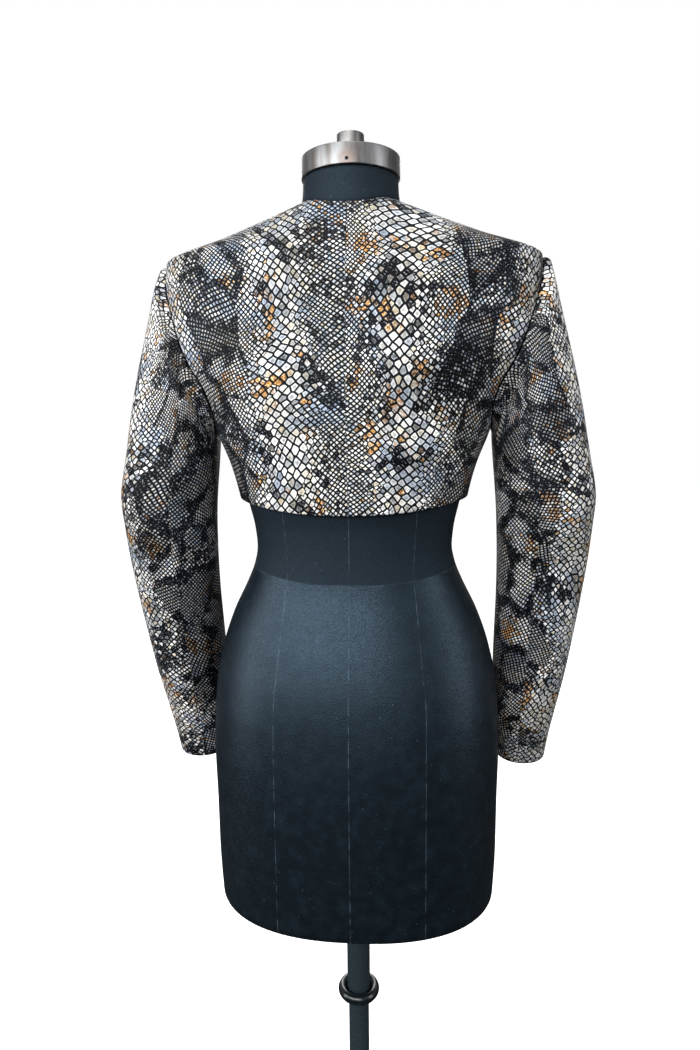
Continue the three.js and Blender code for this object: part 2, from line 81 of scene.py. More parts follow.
# Sections: height, half width, reach to the back, reach to the front, squareness
JACKET_SECTIONS = np.array([
    [1050, 127, 93, 117, 2.25],
    [1066, 128.5, 94, 119, 2.25],
    [1089, 132, 96, 123, 2.3],
    [1116, 139.5, 99, 128, 2.3],
    [1150, 153, 102, 131, 2.3],
    [1166, 158, 103, 130, 2.3],
    [1189, 169, 104, 126, 2.3],
    [1207, 180, 104, 121, 2.3],
    [1225, 192, 103.5, 115, 2.3],
    [1250, 201.5, 102, 105, 2.3],
    [1290, 207.5, 97, 89, 2.25],
    [1320, 210, 90, 77, 2.2],
    [SHOULDER_HEIGHT, SHOULDER_HALF, 82, 69, 2.15],
    [1364, 147.3, 71, 62, 2.1],
    [1385, 90.9, 61, 57.5, 2.1],
    [NECK_SIDE_HEIGHT, NECK_SIDE_HALF, 56, 55.5, 2.05],
])
FORM_SECTIONS = np.array([
    [600, 163.4, 119, 97, 2.35],
    [660, 166.4, 120, 97.5, 2.35],
    [728, 167.4, 121, 98, 2.3],
    [780, 168.6, 120, 98, 2.3],
    [828, 167, 117, 97, 2.3],
    [868, 164, 112, 96, 2.25],
    [907, 156, 104, 94, 2.2],
    [946, 142.7, 94, 91, 2.2],
    [985, 124, 85, 88, 2.15],
    [1004, 116.5, 82.5, 87, 2.15],
    [1023, 113, 81.5, 87.5, 2.15],
    [1045, 115, 82, 90, 2.15],
    [1070, 120.5, 85, 96, 2.2],
    [1110, 131, 91, 110, 2.25],
    [1150, 143, 95, 122, 2.3],
    [1180, 152, 97, 121, 2.3],
])
# How far the form lies inside the cloth: height, ease
FORM_EASE = np.array([
    [1110, 7],
    [1150, 6],
    [1200, 4.5],
    [1250, 2.5],
    [1300, 1],
    [1341, SEAT_GAP],
    [1376, SEAT_GAP],
    [1390, SEAT_GAP + 1],
    [1398, SEAT_GAP + 1.4],
])
# Half the front opening: height, half
FRONT_EDGE = np.array([
    [1080, 74],
    [1086, 62],
    [1096, 53],
    [1112, 47],
    [1150, 42],
    [1250, 41],
    [1320, 45],
    [1362, 51],
    [1385, 54],
    [1396.5, 55.6],
])
# Half the back and front panels between the princess seams: height, half
PRINCESS_BACK = np.array([[600, 81], [860, 81.5], [1003, 68], [1150, 78], [1341, 84]])
PRINCESS_FRONT = np.array([[600, 80], [860, 80], [1003, 62], [1120, 84], [1341, 90]])
# Sleeve rings: inner x, inner z, outer x, outer z, middle y, half depth
SLEEVE_RINGS = np.array([
    [157.2, 1151, 223, 1316, 0, 53],
    [157.4, 1146, 229.6, 1288, 0, 55],
    [157.8, 1139, 237.6, 1256, 0, 57],
    [158.4, 1129, 246.9, 1218, 0.5, 58],
    [159.4, 1115, 255.8, 1176, 1, 58],
    [160.9, 1097, 263.8, 1130, 2, 57],
    [162.4, 1075, 271.8, 1084, 3, 56],
    [164, 1048, 270.2, 1050, 1, 54.5],
    [165.6, 1008, 266.8, 1005, -5, 53],
    [166.4, 965, 262.2, 960, -13, 51.5],
    [166.2, 920, 257.4, 915, -23, 50],
    [166.2, 874, 252, 868, -34, 48.5],
    [168, 828, 245.2, 822, -46, 46.5],
    [171, 783, 239, 780, -58, 44],
    [174.2, 738, 235.4, 740, -70, 41.5],
])
LAST_RING = len(SLEEVE_RINGS) + 1.0
CUFF = LAST_RING - 0.2  # the cuff lies 8 mm above the last ring
RING_SPACING = 42.0

# Fineness of the cloth
EDGE_STEPS = np.array([0.0, 0.45, 1.1, 2.2])  # points this far in from each edge, for its roundness
EDGE_DIP = 0.9  # how far the outside turns in at an edge
CREASE_PHASE = 1.7  # each crease wanders from its line in a way of its own
TURNED_IN = 18.0  # the print turns in round an edge this far before the lining starts
PANEL_COLUMNS = 44
PANEL_ROWS = {"below": 16, "armhole": 44, "shoulder": 24}
PLATE_LENGTH = 60.0  # from the shoulder's height to the neck, along the cloth
DENSE = 300  # points on a line whose length is measured
SWEEP = np.linspace(0, 1, 60)  # shares of a path whose length is measured
SLEEVE_COLUMNS = {"upper": 46, "under": 24}
ELBOW_RING = 9
ARMPIT_CUT = 205.0  # the armpit's place on the body's cut, from the middle


# Curves and surfaces


def column(table, place):
    """A smooth curve through one column of a table that never overshoots its rows (a monotone cubic)."""
    heights, values = table[:, 0], table[:, place]
    steps = np.diff(heights)
    slopes = np.diff(values) / steps
    tangents = np.empty_like(values)
    tangents[0], tangents[-1] = slopes[0], slopes[-1]
    before, after = slopes[:-1], slopes[1:]
    product = before * after
    total = np.where(before + after == 0, 1, before + after)
    tangents[1:-1] = np.where(product <= 0, 0, 2 * product / total)

    def curve(height):
        at = np.clip(height, heights[0], heights[-1])
        i = np.clip(np.searchsorted(heights, at, side="right") - 1, 0, len(steps) - 1)
        t = (at - heights[i]) / steps[i]
        u = 1 - t
        return (
            values[i] * (1 + 2 * t) * u * u
            + values[i + 1] * (1 + 2 * u) * t * t
            + steps[i] * t * u * (tangents[i] * u - tangents[i + 1] * t)
        )

    return curve


def signed_power(value, power):
    return np.sign(value) * np.abs(value) ** power


class Sections:
    """Level sections of a body: half width, back, front and squareness as curves over height."""

    def __init__(self, table):
        self.width, self.back, self.front, self.square = (column(table, k) for k in (1, 2, 3, 4))

    def point(self, height, degrees):
        """x = width cos^p, y = reach sin^p with p = 2 / squareness: a superellipse at each height."""
        height, degrees = np.broadcast_arrays(np.asarray(height, float), np.asarray(degrees, float))
        angle = np.radians(degrees)
        power = 2 / self.square(height)
        reach = np.where(degrees < 0, self.front(height), self.back(height))
        x = self.width(height) * signed_power(np.cos(angle), power)
        y = reach * signed_power(np.sin(angle), power)
        return np.stack([x, y, height], -1)

    def angle_at_half(self, height, half):
        cosine = np.minimum(1, half / self.width(height)) ** (self.square(height) / 2)
        return np.degrees(np.arccos(cosine))

    def angle_at_depth(self, height, depth):
        reach = self.front(height) if depth < 0 else self.back(height)
        return np.degrees(np.arcsin((abs(depth) / reach) ** (self.square(height) / 2)))


jacket = Sections(JACKET_SECTIONS)
form = Sections(FORM_SECTIONS)
form_ease = column(FORM_EASE, 1)
front_edge = column(FRONT_EDGE, 1)


def unit(vectors):
    return vectors / np.maximum(np.linalg.norm(vectors, axis=-1, keepdims=True), 1e-12)


def jacket_normal(height, degrees):
    """Outward unit normal: the cross product of small steps along the angle and up the height."""
    step = 0.01
    height = np.minimum(height, NECK_SIDE_HEIGHT - 2 * step)
    degrees = np.where(degrees < 0, np.minimum(degrees, -2 * step), np.maximum(degrees, 2 * step))
    up = jacket.point(height + step, degrees) - jacket.point(height - step, degrees)
    around = jacket.point(height, degrees + step) - jacket.point(height, degrees - step)
    return unit(np.cross(around, up))


def path_length(points):
    """Length from the start of each polyline to each of its points."""
    steps = np.linalg.norm(np.diff(points, axis=-2), axis=-1)
    return np.concatenate([np.zeros(steps.shape[:-1] + (1,)), np.cumsum(steps, -1)], -1)


def edge_spaced(length, count):
    """Places along a length: close together at both ends, for the rounded edges, and even between."""
    even = np.linspace(EDGE_STEPS[-1], length - EDGE_STEPS[-1], count)
    return np.concatenate([EDGE_STEPS[:-1], even, length - EDGE_STEPS[-2::-1]])


def edge_dip(distance):
    """A quarter round: full dip at the edge, none from the last edge step on."""
    t = np.clip(1 - distance / EDGE_STEPS[-1], 0, 1)
    return EDGE_DIP * (1 - np.sqrt(1 - t * t))


def bump_line(along, across, start, end, width, height, phase):
    """A soft ridge, or a trough if height is negative: a bell across, fading from its middle to both ends."""
    middle, half = (start + end) / 2, (end - start) / 2
    fade = np.clip(1 - ((along - middle) / half) ** 2, 0, 1) ** 1.5
    wander = np.sin(along / 17 + phase) * width * 0.3
    return height * fade * np.exp(-(((across - wander) / width) ** 2))


# Jacket body panels


def armhole_place(degrees):
    """Height and angle out of the side of the armhole's edge; 0 is the shoulder point, 180 the armpit."""
    angle = np.radians(degrees)
    height = ARMPIT_HEIGHT + (SHOULDER_HEIGHT - ARMPIT_HEIGHT) * (1 + np.cos(angle)) / 2
    spread = ARMHOLE_SPREAD * np.sin(angle) * (1 - ARMHOLE_SCOOP * np.cos(angle))
    return height, spread


def back_hem(degrees):
    return HEM_SIDE_HEIGHT + (HEM_BACK_HEIGHT - HEM_SIDE_HEIGHT) * np.sin(np.radians(degrees)) ** 2


def back_neck(degrees):
    return NECK_SIDE_HEIGHT + (NECK_BACK_HEIGHT - NECK_SIDE_HEIGHT) * np.sin(np.radians(degrees)) ** 6


def level_at(height):
    """A line that lies at one height all round."""
    return lambda degrees: height + 0 * degrees


def panel_rows(hem, neck):
    """Rows of a body panel: the lines below and above, the share between them, and the armhole's angle.

    They are finer at the hem and at the neck.
    """
    hem_fine = EDGE_STEPS / (ARMPIT_HEIGHT - HEM_SIDE_HEIGHT)
    below = np.concatenate([hem_fine, np.linspace(hem_fine[-1], 1, PANEL_ROWS["below"])[1:-1]])
    neck_fine = 1 - EDGE_STEPS[::-1] / PLATE_LENGTH
    shoulder = np.concatenate([np.linspace(0, neck_fine[0], PANEL_ROWS["shoulder"])[1:-1], neck_fine])
    rows = [(hem, level_at(ARMPIT_HEIGHT), share, 0.0) for share in below]
    for degrees in np.linspace(180, 0, PANEL_ROWS["armhole"]):
        height, spread = armhole_place(degrees)
        rows.append((level_at(height), level_at(height), 0.0, spread))
    return rows + [(level_at(SHOULDER_HEIGHT), neck, share, 0.0) for share in shoulder]


def between(low, high, share, degrees):
    return low(degrees) + share * (high(degrees) - low(degrees))


def body_panel(facing, hem, neck, inner_angle):
    """A quarter of the body as grids of points, outward normals, distances from the edges and cut places.

    Each row runs from the side seam, armhole or shoulder seam to the inner edge, and its points are
    spaced by real length. The cut place is (length round the body from the middle, length up the cloth).
    """
    heights, angles, from_edge = [], [], []
    for low, high, share, spread in panel_rows(hem, neck):
        edge_height = float(between(low, high, share, 0.0))
        start = max(float(jacket.angle_at_depth(edge_height, facing * HALF_SEAM)), float(spread))
        dense = facing * np.linspace(start, float(inner_angle(edge_height)), DENSE)
        length = path_length(jacket.point(between(low, high, share, dense), dense))
        places = edge_spaced(length[-1], PANEL_COLUMNS)
        degrees = facing * np.interp(places, length, np.abs(dense))
        heights.append(between(low, high, share, degrees))
        angles.append(degrees)
        from_edge.append(np.minimum(places, length[-1] - places))
    heights, angles, from_edge = np.array(heights), np.array(angles), np.array(from_edge)
    points = jacket.point(heights, angles)
    up = path_length(points.transpose(1, 0, 2)).T
    from_edge = np.minimum(from_edge, np.minimum(up, up[-1] - up))
    return points, jacket_normal(heights, angles), from_edge, cut_places(heights, angles, facing)


def cut_places(heights, angles, facing):
    """Flat place of each point: (round at its own height from the middle, up from the armpit).

    Up to the shoulder the cloth is followed at a constant angle, and past it at a constant x, because
    there it closes in on the shoulder seam as a flat plate does.
    """
    swept = facing * 90 + (angles - facing * 90)[..., None] * SWEEP
    around = path_length(jacket.point(heights[..., None], swept))[..., -1]

    x = np.abs(jacket.point(heights, angles)[..., 0])
    above = heights > SHOULDER_HEIGHT
    turn = np.where(above, jacket.angle_at_half(np.minimum(heights, SHOULDER_HEIGHT), x), np.abs(angles))
    level = np.minimum(heights, SHOULDER_HEIGHT)
    side = ARMPIT_HEIGHT + (level - ARMPIT_HEIGHT)[..., None] * SWEEP
    up = path_length(jacket.point(side, (facing * turn)[..., None]))[..., -1] * np.sign(level - ARMPIT_HEIGHT)
    plate = level[..., None] + (heights - level)[..., None] * np.sin(SWEEP * math.pi / 2)
    square = jacket.square(plate)
    reach = jacket.front(plate) if facing < 0 else jacket.back(plate)
    depth = reach * np.clip(1 - (x[..., None] / jacket.width(plate)) ** square, 0, 1) ** (1 / square)
    up += path_length(np.stack([0 * plate, depth, plate], -1))[..., -1]
    return np.stack([around, up], -1)


def body_creases(cut, from_edge, facing):
    """Drag lines that fan from the armpit, and a slight wave along the hem; none at the seams.

    Each drag line is: slope, length, height.
    """
    u, v = cut[..., 0], cut[..., 1]
    swell = 0.0 * u
    for k, (rise, reach, height) in enumerate([(0.15, 95, 0.9), (0.5, 80, -0.8), (-0.2, 90, 0.8), (1.0, 60, 0.6)]):
        along = ARMPIT_CUT - u
        across = (v + 6 - rise * along * 0.6) / math.hypot(1, rise)
        swell += bump_line(along, across, 18, 18 + reach, 5.5, height, k * CREASE_PHASE)
    swell += 0.35 * np.sin(u / 23 + facing) * np.clip((-v - 30) / 40, 0, 1)
    return swell * np.clip((from_edge - 3) / 12, 0, 1)


# Sleeves


def spin_wrapped(degrees):
    return np.where(degrees > 180, degrees - 360, degrees)


def ring_point(ring, degrees):
    """A point of one ring: 0 is the armhole moved out, 1 the rolled head, the rest the rows of the table."""
    degrees = np.asarray(degrees, float)
    ring = np.broadcast_to(ring, degrees.shape)
    angle = np.radians(degrees)
    turned = spin_wrapped(degrees)
    height, spread = armhole_place(np.abs(turned))
    head = jacket.point(height, np.sign(turned) * spread)
    upper = ((1 + np.cos(angle)) / 2) ** 1.3
    second = (ring == 1).astype(float)
    head = np.stack([
        head[..., 0] + SLEEVE_GAP + second * HEAD_OUT * upper,
        head[..., 1] * (1 + second * (HEAD_SWELL - 1)),
        head[..., 2] - second * (HEAD_DROP + HEAD_ROLL * upper),
    ], -1)
    row = SLEEVE_RINGS[np.clip(ring - 2, 0, len(SLEEVE_RINGS) - 1)]
    inner, outer, power = row[..., :2], row[..., 2:4], 2 / SLEEVE_SQUARE
    level = (outer + inner) / 2 + (outer - inner) / 2 * signed_power(np.cos(angle), power)[..., None]
    depth = row[..., 4] + row[..., 5] * signed_power(np.sin(angle), power)
    arm = np.stack([level[..., 0], depth, level[..., 1]], -1)
    return np.where((ring < 2)[..., None], head, arm)


def sleeve_point(along, degrees):
    """A smooth curve (Catmull-Rom) through the rings at each angle."""
    along, degrees = np.broadcast_arrays(np.asarray(along, float), np.asarray(degrees, float))
    at = np.clip(along, 0, LAST_RING)
    ring = np.minimum(np.floor(at), LAST_RING - 1).astype(int)
    t = (at - ring)[..., None]
    p, q, r, s = (ring_point(np.clip(ring + k, 0, int(LAST_RING)), degrees) for k in (-1, 0, 1, 2))
    return q + 0.5 * t * (r - p + t * (2 * p - 5 * q + 4 * r - s + t * (3 * (q - r) + s - p)))


def sleeve_normal(along, degrees):
    step = 0.01
    at = np.clip(along, step, LAST_RING - step)
    down = sleeve_point(at + step, degrees) - sleeve_point(at - step, degrees)
    around = sleeve_point(at, degrees + 1) - sleeve_point(at, degrees - 1)
    return unit(np.cross(down, around))


def sleeve_piece(start, end, columns):
    """A lengthwise piece between two seams, in rows from the armhole to the cuff, spaced by real length.

    The cut place is (length round from the outer line, length up from the elbow), so that the head of the
    piece curves as a sleeve head does on the cutting table.
    """
    head = np.array([0, 0.05, 0.12, 0.25])
    cuff = CUFF - EDGE_STEPS[::-1] / RING_SPACING
    rows = np.concatenate([head, np.linspace(0.25, cuff[0], 66)[1:-1], cuff])
    dense = np.linspace(start, end, DENSE)
    angles, from_edge = [], []
    for along in rows:
        length = path_length(sleeve_point(along, dense))
        low, high = SLEEVE_SEAM_INSET, length[-1] - SLEEVE_SEAM_INSET
        places = low + edge_spaced(high - low, columns)
        angles.append(np.interp(places, length, dense))
        from_edge.append(np.minimum(places - low, high - places))
    angles, from_edge = np.array(angles), np.array(from_edge)
    along = np.broadcast_to(rows[:, None], angles.shape)
    points = sleeve_point(along, angles)
    down = path_length(points.transpose(1, 0, 2)).T
    from_edge = np.minimum(from_edge, np.minimum(down, down[-1] - down))
    signed = spin_wrapped(angles) if start < 90 else angles
    swept = sleeve_point(along[..., None], signed[..., None] * SWEEP)
    around = path_length(swept)[..., -1] * np.sign(signed)
    elbow = down[np.argmin(np.abs(rows - ELBOW_RING))]
    cut = np.stack([around, elbow - down], -1)
    return points, sleeve_normal(along, angles), from_edge, cut


def sleeve_creases(cut, from_edge):
    """Troughs and rolls in the bend of the elbow, at the front, and soft drags behind the upper arm.

    Each row is: middle of the crease round and up the cut, half its length, slope, width, height.
    """
    u, v = cut[..., 0], cut[..., 1]
    swell = 0.0 * u
    for k, (middle, rise, half, slope, width, height) in enumerate([
        (-88, 38, 60, 0.2, 5, -1.6),
        (-84, 24, 66, -0.1, 5, 1.2),
        (-92, 8, 62, 0.1, 5, -1.9),
        (-86, -6, 58, -0.05, 5, 1.3),
        (-94, -22, 64, 0.15, 6, -1.5),
        (-80, -44, 50, -0.1, 7, 0.9),
        (98, 150, 50, 0.7, 7, -0.9),
        (92, 122, 56, 0.6, 7, 0.8),
        (104, 92, 48, 0.5, 8, -0.9),
        (96, 20, 60, 0.35, 8, -0.9),
        (88, -8, 64, 0.2, 7, 0.9),
        (100, -40, 52, -0.1, 8, -0.9),
        (84, -86, 58, -0.3, 9, 0.6),
        (60, -226, 60, 0.3, 9, -0.7),
        (-40, -150, 50, -0.25, 9, -0.6),
    ]):
        along = u - middle
        swell += bump_line(along, v - rise - slope * along, -half, half, width, height, k * CREASE_PHASE)
    return swell * np.clip((from_edge - 2) / 10, 0, 1)


# Meshes


def grid_faces(rows, columns, offset=0, flipped=False):
    """Quads of a grid, counter-clockwise as seen with rows up and columns to the right."""
    r, c = np.meshgrid(np.arange(rows - 1), np.arange(columns - 1), indexing="ij")
    corner = (r * columns + c).ravel() + offset
    quads = np.stack([corner, corner + 1, corner + columns + 1, corner + columns], 1)
    return quads[:, ::-1] if flipped else quads


def cloth_shell(name, points, normals, from_edge, swell, cut, side, look, lining):
    """A closed wall: the outside grid with rounded edges, the inside a wall's thickness in, and their rims.

    The inside shows the print for a turned-in strip along its edges, and the lining past it.
    """
    rows, columns = from_edge.shape
    outside = points + normals * (swell - edge_dip(from_edge))[..., None]
    inside = points + normals * (swell - WALL)[..., None]
    layers = np.concatenate([outside.reshape(-1, 3), inside.reshape(-1, 3)]) * SCALE
    layers[:, 0] *= side
    count = rows * columns
    ring = np.concatenate([
        np.arange(columns),
        np.arange(1, rows) * columns + columns - 1,
        (rows - 1) * columns + np.arange(columns - 2, -1, -1),
        np.arange(rows - 2, 0, -1) * columns,
    ])
    nxt = np.roll(ring, -1)
    rim = np.stack([ring, ring + count, nxt + count, nxt], 1)
    faces = np.concatenate([
        grid_faces(rows, columns),
        grid_faces(rows, columns, count, flipped=True),
        rim,
    ])
    flat = np.concatenate([cut.reshape(-1, 2), cut.reshape(-1, 2)])
    deep = from_edge.reshape(-1) > TURNED_IN
    lined = deep[grid_faces(rows, columns)].all(1)
    indices = np.concatenate([0 * lined, lined, np.zeros(len(rim))]).astype(int)
    mesh = bpy.data.meshes.new(name)
    mesh.from_pydata(layers.tolist(), [], faces.tolist())
    uv = mesh.uv_layers.new(name="cut")
    corners = np.empty(len(mesh.loops), int)
    mesh.loops.foreach_get("vertex_index", corners)
    uv.data.foreach_set("uv", flat[corners].astype(np.float32).ravel())
    mesh.materials.append(look)
    mesh.materials.append(lining)
    mesh.polygons.foreach_set("material_index", indices)
    finish_mesh(mesh, sharp=48)
    return shown(name, mesh, "form")


def finish_mesh(mesh, sharp):
    """Faces outwards by the sign of the volume, smooth shading, sharp only past an angle in degrees."""
    work = bmesh.new()
    work.from_mesh(mesh)
    if work.calc_volume(signed=True) < 0:
        bmesh.ops.reverse_faces(work, faces=work.faces)
    work.to_mesh(mesh)
    work.free()
    mesh.polygons.foreach_set("use_smooth", np.ones(len(mesh.polygons), bool))
    mesh.set_sharp_from_angle(angle=math.radians(sharp))
    mesh.update()


def shown(name, mesh, body):
    piece = bpy.data.objects.new(name, mesh)
    bpy.context.scene.collection.objects.link(piece)
    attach(piece, body)
    return piece


def ring_faces(levels, count, offset=0, closed=False):
    """Quads between neighbouring rings of points; closed joins the last ring to the first."""
    place = np.arange(count)
    following = (place + 1) % count
    faces = []
    for level in range(levels if closed else levels - 1):
        low, high = offset + level * count, offset + (level + 1) % levels * count
        faces.append(np.stack([low + place, low + following, high + following, high + place], 1))
    return np.concatenate(faces).tolist()


def ring_piece(name, points, faces, look, body, sharp):
    mesh = bpy.data.meshes.new(name)
    mesh.from_pydata((points * SCALE).tolist(), [], faces)
    mesh.materials.append(look)
    finish_mesh(mesh, sharp)
    return shown(name, mesh, body)


def rings_solid(name, rings, start, end, look, body, sharp):
    """A closed solid through rings of points, with a point at each end."""
    levels, count = rings.shape[:2]
    points = np.concatenate([[start], rings.reshape(-1, 3), [end]])
    place = np.arange(count)
    following = (place + 1) % count
    last = 1 + (levels - 1) * count
    low_cap = np.stack([0 * place, 1 + following, 1 + place], 1).tolist()
    high_cap = np.stack([0 * place + len(points) - 1, last + place, last + following], 1).tolist()
    faces = ring_faces(levels, count, 1) + low_cap + high_cap
    return ring_piece(name, points, faces, look, body, sharp)


def circle(radius, height, angle):
    return np.stack([radius * np.cos(angle), radius * np.sin(angle), height + 0 * angle], -1)


def turned_piece(name, profile, look, body, segments, sharp):
    """A profile of (radius, height) pairs spun about Z; one that starts and ends off the axis is a ring."""
    profile = np.asarray(profile, float)
    angle = np.linspace(0, 2 * math.pi, segments, endpoint=False)
    closed = profile[0, 0] > 0
    middle = profile if closed else profile[1:-1]
    rings = circle(middle[:, None, 0], middle[:, None, 1], angle)
    if closed:
        faces = ring_faces(len(middle), segments, closed=True)
        return ring_piece(name, rings.reshape(-1, 3), faces, look, body, sharp)
    return rings_solid(name, rings, [0, 0, profile[0, 1]], [0, 0, profile[-1, 1]], look, body, sharp)


def rounded(profile, radius, steps=4):
    """The profile with each inner corner replaced by a short arc that starts radius away from it."""
    profile = [np.array(p, float) for p in profile]
    out = [profile[0]]
    for before, corner, after in zip(profile, profile[1:], profile[2:]):
        a, b = before - corner, after - corner
        reach = min(radius, np.linalg.norm(a) * 0.45, np.linalg.norm(b) * 0.45)
        first, last = corner + unit(a) * reach, corner + unit(b) * reach
        for t in np.linspace(0, 1, steps + 1):
            out.append((1 - t) ** 2 * first + 2 * t * (1 - t) * corner + t**2 * last)
    out.append(profile[-1])
    return np.array(out)


# Materials


def linear(code):
    """An sRGB hex colour as linear RGBA."""
    parts = [int(code[k : k + 2], 16) / 255 for k in (1, 3, 5)]
    return [p / 12.92 if p <= 0.04045 else ((p + 0.055) / 1.055) ** 2.4 for p in parts] + [1.0]


def add_node(tree, kind, inputs=None, out=0, stops=None, **settings):
    """Adds a node and gives one of its outputs, or all of them if out is None.

    inputs are its sockets' values or links, stops a ramp's colours, and settings its own properties.
    """
    made = tree.nodes.new("ShaderNode" + kind)
    for key, value in settings.items():
        setattr(made, key, value)
    for key, value in (inputs or {}).items():
        if isinstance(value, bpy.types.NodeSocket):
            tree.links.new(value, made.inputs[key])
        else:
            made.inputs[key].default_value = value
    if stops:
        ramp = made.color_ramp
        while len(ramp.elements) < len(stops):
            ramp.elements.new(0.5)
        for element, (place, code) in zip(ramp.elements, stops):
            element.position = place
            element.color = linear(code)
    return made.outputs if out is None else made.outputs[out]


def new_material(name):
    """An empty material, and the function that adds nodes to it."""
    material = bpy.data.materials.new(name)
    material.use_nodes = True
    material.node_tree.nodes.clear()
    return material, partial(add_node, material.node_tree)


# The print is laid out on the cut, in millimetres; noise scales are per millimetre.
SLANT = 0.8  # radians: blotches and worn clouds climb at this slant
DIAGONAL = 0.785  # radians: rows of scales lie on the bias
BLOTCH_SIZE, BLOTCH_STRETCH = 50, (1.25, 0.75, 1)
CLOUD_STRETCH = (2.0, 0.7, 1)
MIRROR = 500.0  # half the distance at which the rule for the two sides repeats


def from_middle(add, place):
    """Distance from the middle line of a place on the cut; both sides of the jacket share one rule."""
    across = add("SeparateXYZ", {0: place})
    return add("Math", {0: across, 1: MIRROR}, operation="PINGPONG")


def in_band(add, place, bands):
    """1 in the middle of a band of large scales, falling to 0 at its sides, with a wandering edge."""
    wave = add("TexNoise", {"Vector": place, "Scale": 0.018, "Detail": 1.0}, noise_dimensions="2D")
    wave = add("Math", {0: wave, 1: 50.0, 2: from_middle(add, place)}, operation="MULTIPLY_ADD")
    near = 0.0
    for middle, half, strength in bands:
        off = add("Math", {0: wave, 1: middle + 25.0}, operation="SUBTRACT")
        off = add("Math", {0: off}, operation="ABSOLUTE")
        one = add("MapRange", {0: off, 1: 0.0, 2: half, 3: strength, 4: 0.0})
        near = add("Math", {0: one, 1: near}, operation="MAXIMUM")
    return near


def blotches(add, place, feature, out):
    """Blotches 5 cm long on slanted rows."""
    slanted = add(
        "Mapping", {"Vector": place, "Rotation": (0, 0, SLANT), "Scale": BLOTCH_STRETCH}, vector_type="TEXTURE"
    )
    shape = {"Vector": slanted, "Scale": 1 / BLOTCH_SIZE, "Randomness": 0.9}
    return add("TexVoronoi", shape, out, voronoi_dimensions="2D", feature=feature)


def shared_skin(add, bands, first_broken):
    """What all sizes of scale share: drifting places, blotches with rows of their own, and fine noise."""
    cut = add("UVMap", uv_map="cut")
    # The skin's rows wander by a centimetre over a hand's width.
    drift = add("TexNoise", {"Vector": cut, "Scale": 0.007, "Detail": 1.5}, "Color", noise_dimensions="2D")
    drift = add("VectorMath", {0: drift, 1: (0.5, 0.5, 0.5)}, operation="SUBTRACT")
    drift = add("VectorMath", {0: drift, "Scale": 36.0}, operation="SCALE")
    place = add("VectorMath", {0: cut, 1: drift}, operation="ADD")
    # A blotch keeps rows of its own direction, unless it lies near a band.
    blotch = blotches(add, place, "F1", None)
    middle = add("Mapping", {"Vector": blotch["Position"], "Rotation": (0, 0, SLANT), "Scale": BLOTCH_STRETCH})
    luck = add("SeparateColor", {0: blotch["Color"]}, None)
    reach = add("Math", {0: luck[2], 1: 30.0, 2: from_middle(add, middle)}, operation="MULTIPLY_ADD")
    broken = add("Math", {0: reach, 1: first_broken + 15.0}, operation="GREATER_THAN")
    clear = add("Math", {0: in_band(add, middle, bands), 1: 0.25}, operation="LESS_THAN")
    broken = add("Math", {0: broken, 1: clear}, operation="MULTIPLY")
    twist = add("Math", {0: luck[0], 1: 0.5}, operation="SUBTRACT")
    twist = add("Math", {0: twist, 1: broken}, operation="MULTIPLY")
    twist = add("Math", {0: twist, 1: 1.1, 2: DIAGONAL}, operation="MULTIPLY_ADD")
    # Cracks and dirt in the foil, stains that cross a scale, and the fraying of the blotches' edges.
    crackle, stain, fray = (
        add("TexNoise", {"Vector": cut, "Scale": scale, "Detail": detail}, noise_dimensions="2D")
        for scale, detail in ((0.42, 3.0), (0.17, 3.0), (0.06, 2.0))
    )
    return SimpleNamespace(
        cut=cut, place=place, luck=luck, broken=broken, twist=twist, crackle=crackle, stain=stain, fray=fray
    )


def scale_cells(add, skin, size, unevenness, least, half_groove):
    """One size of scale: distances from the middle and the rim, random numbers and each scale's cut place."""
    angle = skin.twist if least == 0 else DIAGONAL
    turned = add("VectorRotate", {"Vector": skin.place, "Angle": angle}, rotation_type="Z_AXIS")
    shape = {"Vector": turned, "Scale": 1 / size, "Randomness": unevenness}
    cells = add("TexVoronoi", shape, None, voronoi_dimensions="2D")
    place = add("VectorRotate", {"Vector": cells["Position"], "Angle": angle}, rotation_type="Z_AXIS", invert=True)
    return SimpleNamespace(
        size=size, least=least, line=half_groove / size, off=cells["Distance"], place=place,
        rim=add("TexVoronoi", shape, voronoi_dimensions="2D", feature="DISTANCE_TO_EDGE"),
        random=add("SeparateColor", {0: cells["Color"]}, None),
    )


